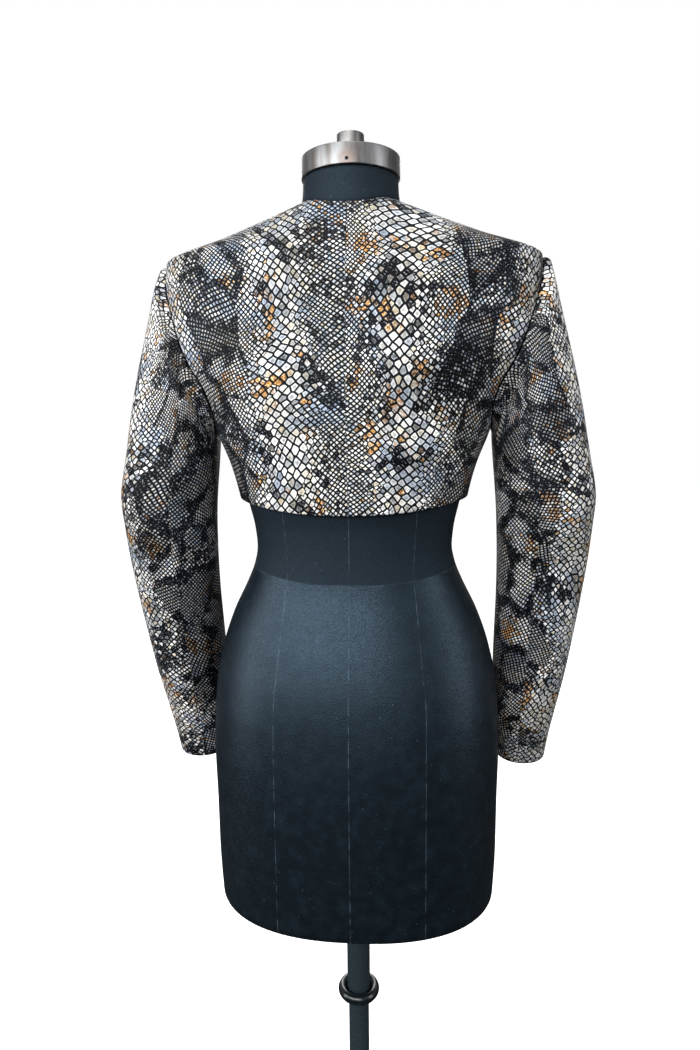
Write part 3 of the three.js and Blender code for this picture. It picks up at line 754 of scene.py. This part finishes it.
def film_colour(add, skin, scale):
    """The film: mostly white to cream, some grey, steel blue in drifts, cracked smudges and ochre stains."""
    random, place = scale.random, scale.place
    film = add(
        "ValToRGB", {0: random[0]},
        stops=[(0.0, "#969ba3"), (0.08, "#cfd2d5"), (0.2, "#f4f3f0"), (0.7, "#ffffff"), (0.86, "#f2ead9"),
               (1.0, "#c4baa2")],
    )
    cool = add("TexNoise", {"Vector": place, "W": 4.0, "Scale": 0.02, "Detail": 1.0}, noise_dimensions="4D")
    cool = add("Math", {0: random[2], 1: 0.3, 2: cool}, operation="MULTIPLY_ADD")
    cool = add("MapRange", {0: cool, 1: 0.61, 2: 0.86, 4: 0.75})
    tints = [(cool, linear("#8fa6c6"))]

    # Large scales are dull inside a bright rim, with a dark smudge where the foil has cracked.
    if scale.size > 5:
        inner = add("MapRange", {0: scale.rim, 1: scale.line + 0.03, 2: scale.line + 0.15, 4: 0.62})
        inner = add("Math", {0: inner, 1: skin.stain}, operation="MULTIPLY")
        tints.append((inner, linear("#8d8878")))
    smudge = add("Math", {0: skin.crackle, 1: -0.5, 2: scale.off}, operation="MULTIPLY_ADD")
    smudge = add("MapRange", {0: smudge, 1: -0.22, 2: 0.06, 3: 1.0, 4: 0.0})
    smudge = add("Math", {0: smudge, 1: random[2]}, operation="MULTIPLY")
    smudge = add("Math", {0: smudge, 1: min(1.0, scale.size / 9)}, operation="MULTIPLY")
    tints.append((smudge, linear("#5f5d57")))

    # Ochre lies in clusters, as uneven stains rather than whole scales.
    warm = add("TexNoise", {"Vector": place, "Scale": 0.03, "Detail": 2.5}, noise_dimensions="2D")
    warm = add("Math", {0: random[1], 1: 0.26, 2: warm}, operation="MULTIPLY_ADD")
    warm = add("Math", {0: skin.stain, 1: 0.3, 2: warm}, operation="MULTIPLY_ADD")
    warm = add("MapRange", {0: warm, 1: 0.91, 2: 1.0, 4: 0.92})
    ochre = add(
        "ValToRGB", {0: skin.crackle},
        stops=[(0.3, "#5f3c14"), (0.45, "#ab7429"), (0.58, "#d39b48"), (0.72, "#efe0c6")],
    )
    tints.append((warm, ochre))
    for amount, tint in tints:
        film = add("Mix", {"Factor": amount, 6: film, 7: tint}, 2, data_type="RGBA")
    return film


def wear(add, skin, scale, dark):
    """How worn each scale is: in clouds that stretch along the slant, and between and on some blotches."""
    slanted = add(
        "Mapping", {"Vector": scale.place, "Rotation": (0, 0, SLANT), "Scale": CLOUD_STRETCH},
        vector_type="TEXTURE",
    )
    worn = add(
        "TexNoise", {"Vector": slanted, "W": 9.0, "Scale": 0.02, "Detail": 3.5, "Roughness": 0.62},
        noise_dimensions="4D",
    )
    worn = add("Math", {0: scale.random[1], 1: 0.2, 2: worn}, operation="MULTIPLY_ADD")
    worn = add("MapRange", {0: worn, 1: 0.68 - dark, 2: 0.79 - dark}, interpolation_type="SMOOTHSTEP")
    if scale.least > 0:
        return worn
    gap = blotches(add, scale.place, "DISTANCE_TO_EDGE", "Distance")
    gap = add("Math", {0: scale.random[2], 1: 0.1, 2: gap}, operation="MULTIPLY_ADD")
    gap = add("Math", {0: skin.fray, 1: -0.5, 2: gap}, operation="MULTIPLY_ADD")
    gap = add("MapRange", {0: gap, 1: -0.14, 2: -0.04, 3: 1.0, 4: 0.0})
    dim = add("MapRange", {0: skin.luck[1], 1: 0.0, 2: 0.8, 3: 0.68, 4: 0.0})
    gap = add("Math", {0: gap, 1: dim}, operation="MAXIMUM")
    gap = add("Math", {0: gap, 1: skin.broken}, operation="MULTIPLY")
    return add("Math", {0: gap, 1: worn}, operation="MAXIMUM")


def worn_black(add, skin, scale):
    """What is left where the film has gone: black, with a broken pale line inside the rim."""
    curl = add("Math", {0: skin.stain, 1: 0.3, 2: scale.rim}, operation="MULTIPLY_ADD")
    curl = add("Math", {0: curl, 1: scale.line + 0.24, 2: 0.055}, operation="COMPARE")
    speck = add("MapRange", {0: skin.crackle, 1: 0.51, 2: 0.58, 4: 0.8})
    curl = add("Math", {0: curl, 1: speck}, operation="MULTIPLY")
    return add("Mix", {"Factor": curl, 6: linear("#030406"), 7: linear("#c3cad4")}, 2, data_type="RGBA")


def snake_print_leather(name, sizes, bands, first_broken, dark):
    """Embossed leather, foil printed with python scales: a bright film over dark grooves.

    sizes is a table of scale sizes from small to large: size in mm, unevenness, how near the middle of the
    band a scale of this size must be (0 to 1), and half the groove in mm. Each scale decides by its own
    place on the cut, so every scale is whole, and its colour and wear come from that place too.
    bands place the large scales: mm from the middle line of the piece, half width, strength. From
    first_broken mm on, the skin is broken into blotches with rows of their own direction, except in the
    bands. dark is how much of it is worn.
    """
    material, add = new_material(name)
    skin = shared_skin(add, bands, first_broken)
    result = None
    for row in sizes:
        scale = scale_cells(add, skin, *row)
        worn = wear(add, skin, scale, dark)
        film = film_colour(add, skin, scale)
        film = add("Mix", {"Factor": worn, 6: film, 7: worn_black(add, skin, scale)}, 2, data_type="RGBA")
        # The film lies inside the groove and the rounded corners, and shrinks as it wears.
        reach = add("Math", {0: worn, 1: -0.07, 2: scale.rim}, operation="MULTIPLY_ADD")
        inside = add(
            "MapRange", {0: reach, 1: scale.line * 0.75, 2: scale.line * 1.45}, interpolation_type="SMOOTHSTEP"
        )
        corner = add("MapRange", {0: scale.off, 1: 0.64, 2: 0.48}, interpolation_type="SMOOTHSTEP")
        inside = add("Math", {0: inside, 1: corner}, operation="MULTIPLY")
        if result is not None:
            here = {0: scale.random[1], 1: 0.12, 2: in_band(add, scale.place, bands)}
            here = add("Math", here, operation="MULTIPLY_ADD")
            here = add("Math", {0: here, 1: scale.least + 0.06}, operation="GREATER_THAN")
            film = add("Mix", {"Factor": here, 6: result[0], 7: film}, 2, data_type="RGBA")
            inside = add("Mix", {"Factor": here, 2: result[1], 3: inside}, data_type="FLOAT")
        result = (film, inside)
    film, inside = result

    # A fine mottle breaks up the film, and slow clouds dim it; grooves are near black with a cold cast.
    mottle = add("MapRange", {0: skin.crackle, 1: 0.32, 2: 0.56, 3: 0.68, 4: 1.1})
    cloud = add("TexNoise", {"Vector": skin.cut, "Scale": 0.012, "Detail": 2.0}, noise_dimensions="2D")
    cloud = add("MapRange", {0: cloud, 1: 0.35, 2: 0.55, 3: 0.7, 4: 1.0})
    mottle = add("Math", {0: mottle, 1: cloud}, operation="MULTIPLY")
    film = add("VectorMath", {0: film, "Scale": mottle}, operation="SCALE")
    groove = add("ValToRGB", {0: cloud}, stops=[(0.7, "#020305"), (1.0, "#080b12")])
    colour = add("Mix", {"Factor": inside, 6: groove, 7: film}, 2, data_type="RGBA")

    # Scales stand a quarter of a millimetre proud of their grooves.
    relief = add("Bump", {"Height": inside, "Strength": 0.5, "Distance": 0.00025})
    rough = add("MapRange", {0: inside, 3: 0.5, 4: 0.34})
    surface = add(
        "BsdfPrincipled",
        {"Base Color": colour, "Roughness": rough, "IOR": 1.5, "Normal": relief, "Specular IOR Level": 0.08},
    )
    add("OutputMaterial", {"Surface": surface}, None)
    return material


def satin_lining(name):
    """Acetate satin: near black, smooth, with a soft sheen along the weft."""
    material, add = new_material(name)
    cut = add("UVMap", uv_map="cut")
    # Threads 0.4 mm apart, drawn twice as coarse as they are so that they show.
    weft = add("TexWave", {"Vector": cut, "Scale": 0.4, "Distortion": 0.6}, "Fac", bands_direction="Y")
    relief = add("Bump", {"Height": weft, "Strength": 0.15, "Distance": 0.0001})
    tone = add("ValToRGB", {0: weft}, stops=[(0.0, "#121315"), (1.0, "#1b1c20")])
    surface = add("BsdfPrincipled", {"Base Color": tone, "Roughness": 0.38, "Normal": relief, "Anisotropic": 0.4})
    add("OutputMaterial", {"Surface": surface}, None)
    return material


def linen_cover(name):
    """Woven cotton-linen stretched over the form: blue-black, with a fine weave, dust, lint, sewn lines and
    painted shade above the waist seam.
    """
    material, add = new_material(name)
    place = add("TexCoord", out="Object")
    # Weft and warp threads a millimetre apart, uneven and broken; drawn coarser than they are so that they show.
    weft, warp = (
        add("TexNoise", {"Vector": add("Mapping", {"Vector": place, "Scale": fine}), "Scale": 1.0, "Detail": 2.0})
        for fine in ((330.0, 330.0, 820.0), (820.0, 820.0, 300.0))
    )
    height = add("Math", {0: weft, 1: warp}, operation="ADD")
    cloud = add("TexNoise", {"Vector": place, "Scale": 75.0, "Detail": 4.0})
    mixed = add("Math", {0: height, 1: 0.7, 2: cloud}, operation="MULTIPLY_ADD")
    mixed = add("MapRange", {0: mixed, 1: 0.95, 2: 1.45})
    tone = add("ValToRGB", {0: mixed}, stops=[(0.0, "#03060a"), (0.5, "#070c10"), (1.0, "#0e171d")])
    # Above the waist seam the cloth is painted darker, as painted shade under the jacket's hem, and is duller.
    waist = add("Attribute", out="Fac", attribute_name="waist_mm")
    upper = add("MapRange", {0: waist, 1: -1.0, 2: 2.0})
    # Lint: sparse pale flecks a millimetre or two long.
    lint = add("TexNoise", {"Vector": place, "Scale": 380.0, "Detail": 1.0})
    lint = add("MapRange", {0: lint, 1: 0.76, 2: 0.80, 4: 0.4})
    # Pale stitches run down each seam and round the waist, broken: the cover carries its distance from both.
    seam = add("Attribute", out="Fac", attribute_name="seam_mm")
    seam = add("MapRange", {0: seam, 1: 0.0, 2: 0.6, 3: 1.0, 4: 0.0})
    waist = add("Math", {0: waist}, operation="ABSOLUTE")
    waist = add("MapRange", {0: waist, 1: 0.0, 2: 0.8, 3: 0.6, 4: 0.0})
    seam = add("Math", {0: seam, 1: waist}, operation="MAXIMUM")
    broken = add("MapRange", {0: cloud, 1: 0.42, 2: 0.62, 3: 0.05, 4: 0.55})
    seam = add("Math", {0: seam, 1: broken}, operation="MULTIPLY")
    pale = add("Math", {0: seam, 1: lint}, operation="MAXIMUM")
    # The first tint is painted shade above the waist seam; the second is the pale stitches and lint.
    for amount, tint in ((upper, "#020406"), (pale, "#55626c")):
        tone = add("Mix", {"Factor": amount, 6: tone, 7: linear(tint)}, 2, data_type="RGBA")
    rough = add("MapRange", {0: height, 1: 0.7, 2: 1.3, 3: 0.52, 4: 0.36})
    rough = add("Math", {0: upper, 1: 0.28, 2: rough}, operation="MULTIPLY_ADD")
    relief = add("Bump", {"Height": height, "Strength": 0.5, "Distance": 0.00028})
    surface = add(
        "BsdfPrincipled",
        {"Base Color": tone, "Roughness": rough, "Normal": relief, "Specular IOR Level": 0.58,
         "Specular Tint": linear("#a9cbe8")},
    )
    add("OutputMaterial", {"Surface": surface}, None)
    return material


SCREW = (0.0, 0.0546, 1.4322)  # the neck cap's set screw, at the back, in metres


def brushed_steel(name):
    """Stainless steel, turned and finely brushed: smooth, with painted reflections in upright streaks, haze, and a
    stain and painted shade at its screw hole.
    """
    material, add = new_material(name)
    place = add("TexCoord", out="Object")
    # Brush marks follow the height, a few tenths of a millimetre apart, and hardly show.
    lines = add("Mapping", {"Vector": place, "Scale": (6.0, 6.0, 2600.0)})
    brush = add("TexNoise", {"Vector": lines, "Scale": 1.0, "Detail": 2.0})
    # Upright streaks one to three centimetres wide: painted reflections, grey to tan, in the colour, and haze from
    # handling in the roughness.
    streaks = add("Mapping", {"Vector": place, "Scale": (70.0, 70.0, 14.0)})
    reflection_and_haze = add("TexNoise", {"Vector": streaks, "Scale": 1.0, "Detail": 3.0})
    tone = add(
        "ValToRGB", {0: reflection_and_haze}, stops=[(0.3, "#5c5856"), (0.45, "#6d6a68"), (0.6, "#87888a"), (0.75, "#73685e")]
    )
    # A rust-brown stain 6 mm wide round the set screw, and the screw's hole, painted dark as painted shade, with a
    # dent.
    off = add("VectorMath", {0: place, 1: SCREW}, "Value", operation="DISTANCE")
    near = add("Math", {0: reflection_and_haze, 1: -0.006, 2: off}, operation="MULTIPLY_ADD")
    rust = add("MapRange", {0: near, 1: 0.003, 2: 0.0085, 3: 0.7, 4: 0.0})
    shaded_screw_hole = add("MapRange", {0: off, 1: 0.0013, 2: 0.0021, 3: 1.0, 4: 0.0})
    # The near black tint is painted shade in the screw hole.
    for amount, tint in ((rust, "#665a54"), (shaded_screw_hole, "#14171d")):
        tone = add("Mix", {"Factor": amount, 6: tone, 7: linear(tint)}, 2, data_type="RGBA")
    rough = add("MapRange", {0: reflection_and_haze, 1: 0.35, 2: 0.7, 3: 0.34, 4: 0.44})
    relief = add("Bump", {"Height": brush, "Strength": 0.04, "Distance": 0.0001})
    relief = add("Bump", {"Height": shaded_screw_hole, "Strength": 0.6, "Distance": 0.0004, "Normal": relief}, invert=True)
    surface = add("BsdfPrincipled", {"Base Color": tone, "Metallic": 1.0, "Roughness": rough, "Normal": relief})
    add("OutputMaterial", {"Surface": surface}, None)
    return material


def stand_paint(name, dark, light, roughness, grain):
    """Powder coat or enamel on steel: even colour with a faint orange peel; grain is its scale per metre."""
    material, add = new_material(name)
    place = add("TexCoord", out="Object")
    peel = add("TexNoise", {"Vector": place, "Scale": grain, "Detail": 2.0})
    tone = add("ValToRGB", {0: peel}, stops=[(0.3, dark), (0.7, light)])
    rough = add("MapRange", {0: peel, 3: roughness - 0.05, 4: roughness + 0.05})
    relief = add("Bump", {"Height": peel, "Strength": 0.1, "Distance": 0.0002})
    surface = add("BsdfPrincipled", {"Base Color": tone, "Roughness": rough, "Normal": relief})
    add("OutputMaterial", {"Surface": surface}, None)
    return material


# Scales: size mm, unevenness, least place in the band, half groove mm
BODY_SCALES = [(3.8, 0.22, 0, 0.79), (4.9, 0.30, 0.14, 0.86), (6.2, 0.38, 0.34, 0.92), (7.8, 0.42, 0.58, 0.98)]
SLEEVE_SCALES = [(3.6, 0.24, 0, 0.74), (4.7, 0.38, 0.06, 0.80), (6.0, 0.52, 0.28, 0.88), (7.3, 0.60, 0.55, 0.96)]
# Bands of large scales: mm from the middle line, half width, strength
BODY_BANDS = [(60.0, 46.0, 1.0), (205.0, 38.0, 0.6)]
SLEEVE_BANDS = [(22.0, 56.0, 1.0)]
BODY_BROKEN, SLEEVE_BROKEN = 108.0, 54.0
# How worn each side is: the right body and the left sleeve are the more worn ones.
BODY_WEAR = {"left": 0.042, "right": 0.064}
SLEEVE_WEAR = {"left": 0.045, "right": 0.008}

body_prints, sleeve_prints = (
    {word: snake_print_leather(f"snake_print_leather_{part}_{word}", *rules, worn[word]) for word in worn}
    for part, rules, worn in (
        ("body", (BODY_SCALES, BODY_BANDS, BODY_BROKEN), BODY_WEAR),
        ("sleeve", (SLEEVE_SCALES, SLEEVE_BANDS, SLEEVE_BROKEN), SLEEVE_WEAR),
    )
)
lining = satin_lining("acetate_satin_lining")
cover = linen_cover("linen_form_cover")
steel = brushed_steel("brushed_stainless_steel")
grey_coat = stand_paint("grey_powder_coat", "#202a2f", "#29353b", 0.26, 900.0)
black_enamel = stand_paint("black_enamel", "#0a1014", "#11191e", 0.24, 300.0)


# Jacket


front_hem, front_neck = level_at(HEM_SIDE_HEIGHT), level_at(FRONT_TOP)
back = body_panel(1, back_hem, back_neck, lambda h: jacket.angle_at_half(h, HALF_SEAM))
front = body_panel(-1, front_hem, front_neck, lambda h: jacket.angle_at_half(h, front_edge(h)))
upper = sleeve_piece(FRONT_SEAM, BACK_SEAM, SLEEVE_COLUMNS["upper"])
under = sleeve_piece(BACK_SEAM, FRONT_SEAM + 360, SLEEVE_COLUMNS["under"])

# Each piece has its own part of the skin: how far the cut is moved across it, and up it on the left and right.
# Across, a whole number of repeats keeps the middle line where it is.
cloth_pieces = [
    ("back", back, body_creases(back[3], back[2], 1), body_prints, 0.0, {"left": 0.0, "right": 1570.0}),
    ("front", front, body_creases(front[3], front[2], -1), body_prints, 4000.0, {"left": 700.0, "right": 2270.0}),
    ("sleeve_upper", upper, sleeve_creases(upper[3], upper[2]), sleeve_prints, 2000.0,
     {"left": 300.0, "right": 2307.0}),
    ("sleeve_under", under, sleeve_creases(under[3], under[2]), sleeve_prints, 6000.0,
     {"left": 900.0, "right": 2470.0}),
]
for word, side in (("left", 1), ("right", -1)):
    for kind, (points, normals, from_edge, cut), swell, prints, across, up in cloth_pieces:
        node = f"{kind}_{word}"
        placed = cut + [across, up[word]]
        piece = cloth_shell(
            f"{node}_cloth", points, normals, from_edge, swell, placed, side, prints[word], lining
        )
        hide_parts(node)


# Form


def drawn_in(x):
    """The form's shoulder is narrower than the jacket's: past the plate's start x is drawn in softly."""
    past = np.abs(x) - PLATE_FROM
    return np.where(past <= 0, x, np.sign(x) * (PLATE_FROM + PLATE_REACH * np.tanh(past / PLATE_SOFTNESS)))


def form_point(height, degrees):
    """The form's skin: its own sections low down, and the cloth's surface moved in above the bust."""
    height, degrees = np.broadcast_arrays(np.asarray(height, float), np.asarray(degrees, float))
    quarter = np.where(degrees > 90, 180 - degrees, np.where(degrees < -90, -180 - degrees, degrees))
    side = np.where(np.abs(degrees) > 90, -1, 1)
    own = form.point(height, quarter)
    inset = WALL + form_ease(height)
    beneath = jacket.point(height, quarter) - jacket_normal(height, quarter) * inset[..., None]
    beneath[..., 0] = drawn_in(beneath[..., 0])
    t = np.clip((height - BUST_HEIGHT) / BUST_BLEND, 0, 1)
    t = (t * t * (3 - 2 * t))[..., None]
    point = own * (1 - t) + beneath * t
    point[..., 0] *= side
    return point


SEAM_STEPS = np.array([-2.6, -1.3, -0.6, 0.0, 0.6, 1.3, 2.6])  # extra points across each seam
SEAM_PANEL_POINTS = 24
COVER_DENSE = 500  # points on a quarter ring whose length is measured
FAR_FROM_SEAM = 9.0
WAIST_SEAM, WAIST_DIP, WAIST_REACH = 1002.0, 12.0, 82.0
LOWER_EDGE = 10.0  # radius of the form's lower edge
COVER_STEP = 7.0  # from ring to ring up the body
FORM_SHOULDER = 180.0  # the form's half width at the shoulder
NECK_CURVE = 6  # the neck's base dips from side to middle as this power of the sine


def seam_groove(distance):
    """A pressed seam: a shallow narrow dip between two slight swells, a narrow bell minus a wider one."""
    return 0.16 * np.exp(-((distance / 0.5) ** 2)) - 0.12 * np.exp(-((distance / 1.5) ** 2))


def cover_quarter(height, facing, princess):
    """One quarter of a ring from the side seam to the middle seam, with a groove at each of its seams."""
    dense = np.linspace(0, 90, COVER_DENSE)
    line = form_point(height, facing * dense)
    length = path_length(line)
    princess_half = np.interp(height, princess[:, 0], princess[:, 1])
    knots = [0.0, float(np.interp(-princess_half, -line[:, 0], length)), length[-1]]
    places = []
    for first, last in zip(knots, knots[1:]):
        even = np.linspace(first + SEAM_STEPS[-1], last - SEAM_STEPS[-1], SEAM_PANEL_POINTS)[1:-1]
        places += [first + SEAM_STEPS[3:], even, last + SEAM_STEPS[:3]]
    places = np.concatenate(places + [[knots[-1]]])
    distance = np.min([np.abs(places - knot) for knot in knots], axis=0)
    return form_point(height, facing * np.interp(places, length, dense)), distance


def cover_ring(height):
    """A whole ring, its points drawn in towards the axis by the grooves, and their distances from a seam."""
    back, back_off = cover_quarter(height, 1, PRINCESS_BACK)
    front, front_off = cover_quarter(height, -1, PRINCESS_FRONT)
    flip = np.array([-1, 1, 1])
    ring = np.concatenate([back[:-1], (back * flip)[:0:-1], (front * flip)[:-1], front[:0:-1]])
    off = np.concatenate([back_off[:-1], back_off[:0:-1], front_off[:-1], front_off[:0:-1]])
    return ring - unit(ring * [1, 1, 0]) * seam_groove(off)[:, None], off


def form_cover_piece():
    """Rings from the socket round the lower edge, up the body and the neck, and each point's seam distance."""
    rim, rim_off = cover_ring(FORM_BOTTOM + LOWER_EDGE)
    angle = np.arctan2(rim[:, 1], rim[:, 0])
    far = np.full(len(rim), FAR_FROM_SEAM)
    rings = [
        circle(SOCKET_RADIUS, SOCKET_TOP, angle),
        circle(SOCKET_RADIUS, FORM_BOTTOM + 0.5, angle),
        circle(SOCKET_RADIUS + 0.8, FORM_BOTTOM, angle),
    ]
    off = [far, far, far]
    for turn in np.linspace(0, math.pi / 2, 7):
        shrink = 1 - 0.07 * (1 - math.sin(turn))
        ring = rim * [shrink, shrink, 1]
        ring[:, 2] = FORM_BOTTOM + LOWER_EDGE * (1 - math.cos(turn))
        rings.append(ring)
        off.append(rim_off)
    for height in np.arange(FORM_BOTTOM + LOWER_EDGE + 8, SHOULDER_HEIGHT, COVER_STEP):
        ring, ring_off = cover_ring(height)
        rings.append(ring)
        off.append(ring_off)
    # The rings lean from level at the shoulder to the neck's dipping base.
    top = rings[-1]
    reach = form_point(SHOULDER_HEIGHT, 90.0)[1]
    degrees = np.degrees(np.arctan2(top[:, 1] / reach, top[:, 0] / FORM_SHOULDER))
    middle = np.where(degrees < 0, NECK_FRONT, NECK_BACK_HEIGHT)
    base = NECK_SIDE_HEIGHT - 1 + (middle - NECK_SIDE_HEIGHT) * np.sin(np.radians(degrees)) ** NECK_CURVE
    for share in np.linspace(0, 0.99, 18):
        rings.append(form_point(SHOULDER_HEIGHT + share * (base - SHOULDER_HEIGHT), degrees))
    angle = np.arctan2(rings[-1][:, 1], rings[-1][:, 0])
    rings += [circle(NECK_RADIUS + 0.4, base - 1.0, angle), circle(NECK_RADIUS + 0.3, base + 1.0, angle)]
    # The neck flares just above the cloth: its radius falls off as a bell does with the share of its height.
    for share in np.linspace(0, 1, 9):
        height = base + 2.2 + share * (NECK_TOP - 1 - base - 2.2)
        rings.append(circle(NECK_RADIUS + 1.1 * math.exp(-((share / 0.3) ** 2)) - 1.0 * share, height, angle))
    rings.append(circle(NECK_RADIUS - 2.0, NECK_TOP, angle))
    off += [far] * (len(rings) - len(off))
    return np.array(rings), np.array(off)


cover_rings, seam_distance = form_cover_piece()
cover_piece = rings_solid("form_cover", cover_rings, [0, 0, SOCKET_TOP], [0, 0, NECK_TOP], cover, "form", 50)
# The waist seam is level at the sides and dips at the middle of the back.
waist = WAIST_SEAM - WAIST_DIP * np.clip(cover_rings[..., 1] / WAIST_REACH, 0, 1) ** 2
above_waist = cover_rings[..., 2] - waist
for name, values, end in (("seam_mm", seam_distance, FAR_FROM_SEAM), ("waist_mm", above_waist, 300.0)):
    mark = cover_piece.data.attributes.new(name, "FLOAT", "POINT")
    mark.data.foreach_set("value", np.concatenate([[end], values.ravel(), [end]]).astype(np.float32))
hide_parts("form_torso")


# Hard parts


def bar(radius, low, top, edge):
    """The profile of a round bar with softened ends."""
    return rounded([[0, low], [radius, low], [radius, top], [0, top]], edge)


TUBE = [[TUBE_INNER, TUBE_LOW], [TUBE_OUTER, TUBE_LOW], [TUBE_OUTER, TUBE_TOP], [TUBE_INNER, TUBE_TOP]]
# The ring collar's outline: radius, height from its middle
COLLAR = np.array([
    [14.6, -8.3], [13.1, -8.3], [13.1, -10.4], [14.1, -10.4], [18.4, -9], [23, -6], [25.6, -2], [26, 2], [24, 5.6],
    [20.6, 7], [18, 6], [16, 3.6], [14.6, 1], [14.6, -8.3],
]) + [0, COLLAR_HEIGHT]
BASE = [
    [0, 0], [198, 0], [200, 2], [200, 7], [196, 10], [100, 12.5], [38, 16], [26, 24], [24, 32], [24, 57], [21, 60],
    [13, 60], [13, 5.7], [0, 5.7],
]
cap_bar = bar(CAP_RADIUS, CAP_LOW, CAP_TOP, 1.4)
knob_bar = bar(KNOB_RADIUS, CAP_TOP + 0.3, KNOB_TOP, 1.4)
pole_bar = bar(POLE_RADIUS, POLE_LOW, POLE_TOP, 1.0)
# Name, solid it stands for, slot, body, profile, material, points round, sharp past this angle
for name, node, slot, body, profile, look, segments, sharp in [
    ("cap_steel", "neck_cap", "brushed_steel", "form", cap_bar, steel, 128, 35),
    ("knob_steel", "neck_knob", "brushed_steel", "form", knob_bar, steel, 96, 35),
    ("tube_painted", "stand_tube", "grey_paint", "form", TUBE, grey_coat, 72, 35),
    ("pole_painted", "stand_pole", "grey_paint", "stand", pole_bar, grey_coat, 72, 35),
    ("collar_enamel", "stand_collar", "black_gloss", "form", rounded(COLLAR, 1.6)[:-1], black_enamel, 96, 60),
    ("base_enamel", "stand_base", "black_gloss", "stand", rounded(BASE, 2.0), black_enamel, 160, 40),
]:
    piece = turned_piece(name, profile, look, body, segments, sharp)
    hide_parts(node)


# Stage, camera and lights


def studio_floor(name):
    """White paper, lit from behind so that it is as bright as the studio round it; it keeps soft shadows."""
    material, add = new_material(name)
    white = linear("#ffffff")
    surface = add(
        "BsdfPrincipled",
        {"Base Color": linear("#d8d8d8"), "Roughness": 0.9, "Emission Color": white, "Emission Strength": 0.8},
    )
    add("OutputMaterial", {"Surface": surface}, None)
    return material


FLOOR_REACH = 14.0
floor_mesh = bpy.data.meshes.new("floor")
floor_mesh.from_pydata(
    [(x * FLOOR_REACH, y * FLOOR_REACH, 0) for x, y in ((-1, -1), (1, -1), (1, 1), (-1, 1))], [], [(0, 1, 2, 3)]
)
floor_mesh.materials.append(studio_floor("studio_floor"))
floor = bpy.data.objects.new("floor", floor_mesh)
floor.visible_diffuse = False
floor.visible_glossy = False
bpy.context.scene.collection.objects.link(floor)

# The camera looks at the back, a little down: focal length and picture height in pixels, turns in degrees
FOCAL_PX, PICTURE_HEIGHT_PX, SENSOR = 725.0, 1050, 36.0
PITCH, YAW, ROLL = 7.1, 4.5, -0.62
DISTANCE, EYE_HEIGHT, SHIFT = 0.840, 1.150, 0.0049
yaw, pitch, roll = (math.radians(v) for v in (YAW, PITCH, ROLL))
right = Vector((-math.cos(yaw), -math.sin(yaw), 0))
ahead = Vector((math.sin(yaw), -math.cos(yaw), 0))
up = Vector((0, 0, 1))
look_dir = ahead * math.cos(pitch) - up * math.sin(pitch)
above = up * math.cos(pitch) + ahead * math.sin(pitch)
spun_right = right * math.cos(roll) + above * math.sin(roll)
spun_above = above * math.cos(roll) - right * math.sin(roll)
camera_data = bpy.data.cameras.new("camera")
camera_data.sensor_width = SENSOR
camera_data.lens = SENSOR * FOCAL_PX / PICTURE_HEIGHT_PX
camera = bpy.data.objects.new("camera", camera_data)
turn = Matrix((spun_right, spun_above, -look_dir)).transposed().to_4x4()
camera.matrix_world = Matrix.Translation(-ahead * DISTANCE + up * EYE_HEIGHT - right * SHIFT) @ turn
bpy.context.scene.collection.objects.link(camera)
bpy.context.scene.camera = camera


def area_light(name, place, target, size, power):
    data = bpy.data.lights.new(name, "AREA")
    data.shape = "RECTANGLE"
    data.size, data.size_y = size
    data.energy = power
    light = bpy.data.objects.new(name, data)
    direction = Vector(target) - Vector(place)
    light.matrix_world = Matrix.Translation(place) @ direction.to_track_quat("-Z", "Y").to_matrix().to_4x4()
    bpy.context.scene.collection.objects.link(light)


area_light("window", (0.9, 2.4, 1.8), (0.02, 0, 1.0), (3.4, 0.9), 90)
area_light("top", (0.3, 1.2, 3.2), (0, 0, 1.05), (1.8, 1.2), 46)
area_light("left", (2.5, 0.9, 1.4), (0, 0, 0.95), (0.8, 2.2), 34)
area_light("right", (-2.5, 0.9, 1.5), (0, 0, 1.0), (0.8, 2.2), 24)
area_light("front", (0.4, -2.6, 2.0), (0, 0, 1.05), (2.2, 1.6), 62)

# The studio shows white, and lights the object softly: less from below than from above.
world = bpy.data.worlds.new("studio")
bpy.context.scene.world = world
world.use_nodes = True
world.node_tree.nodes.clear()
add = partial(add_node, world.node_tree)
rise = add("SeparateXYZ", {0: add("TexCoord", out="Generated")}, 2)
soft = add("MapRange", {0: rise, 1: -0.3, 2: 0.6, 3: 0.04, 4: 0.4})
seen = add("LightPath", out="Is Camera Ray")
strength = add("Mix", {"Factor": seen, 2: soft, 3: 1.0}, data_type="FLOAT")
white = add("Background", {"Color": linear("#ffffff"), "Strength": strength})
add("OutputWorld", {"Surface": white}, None)
bpy.context.scene.view_settings.view_transform = "Standard"
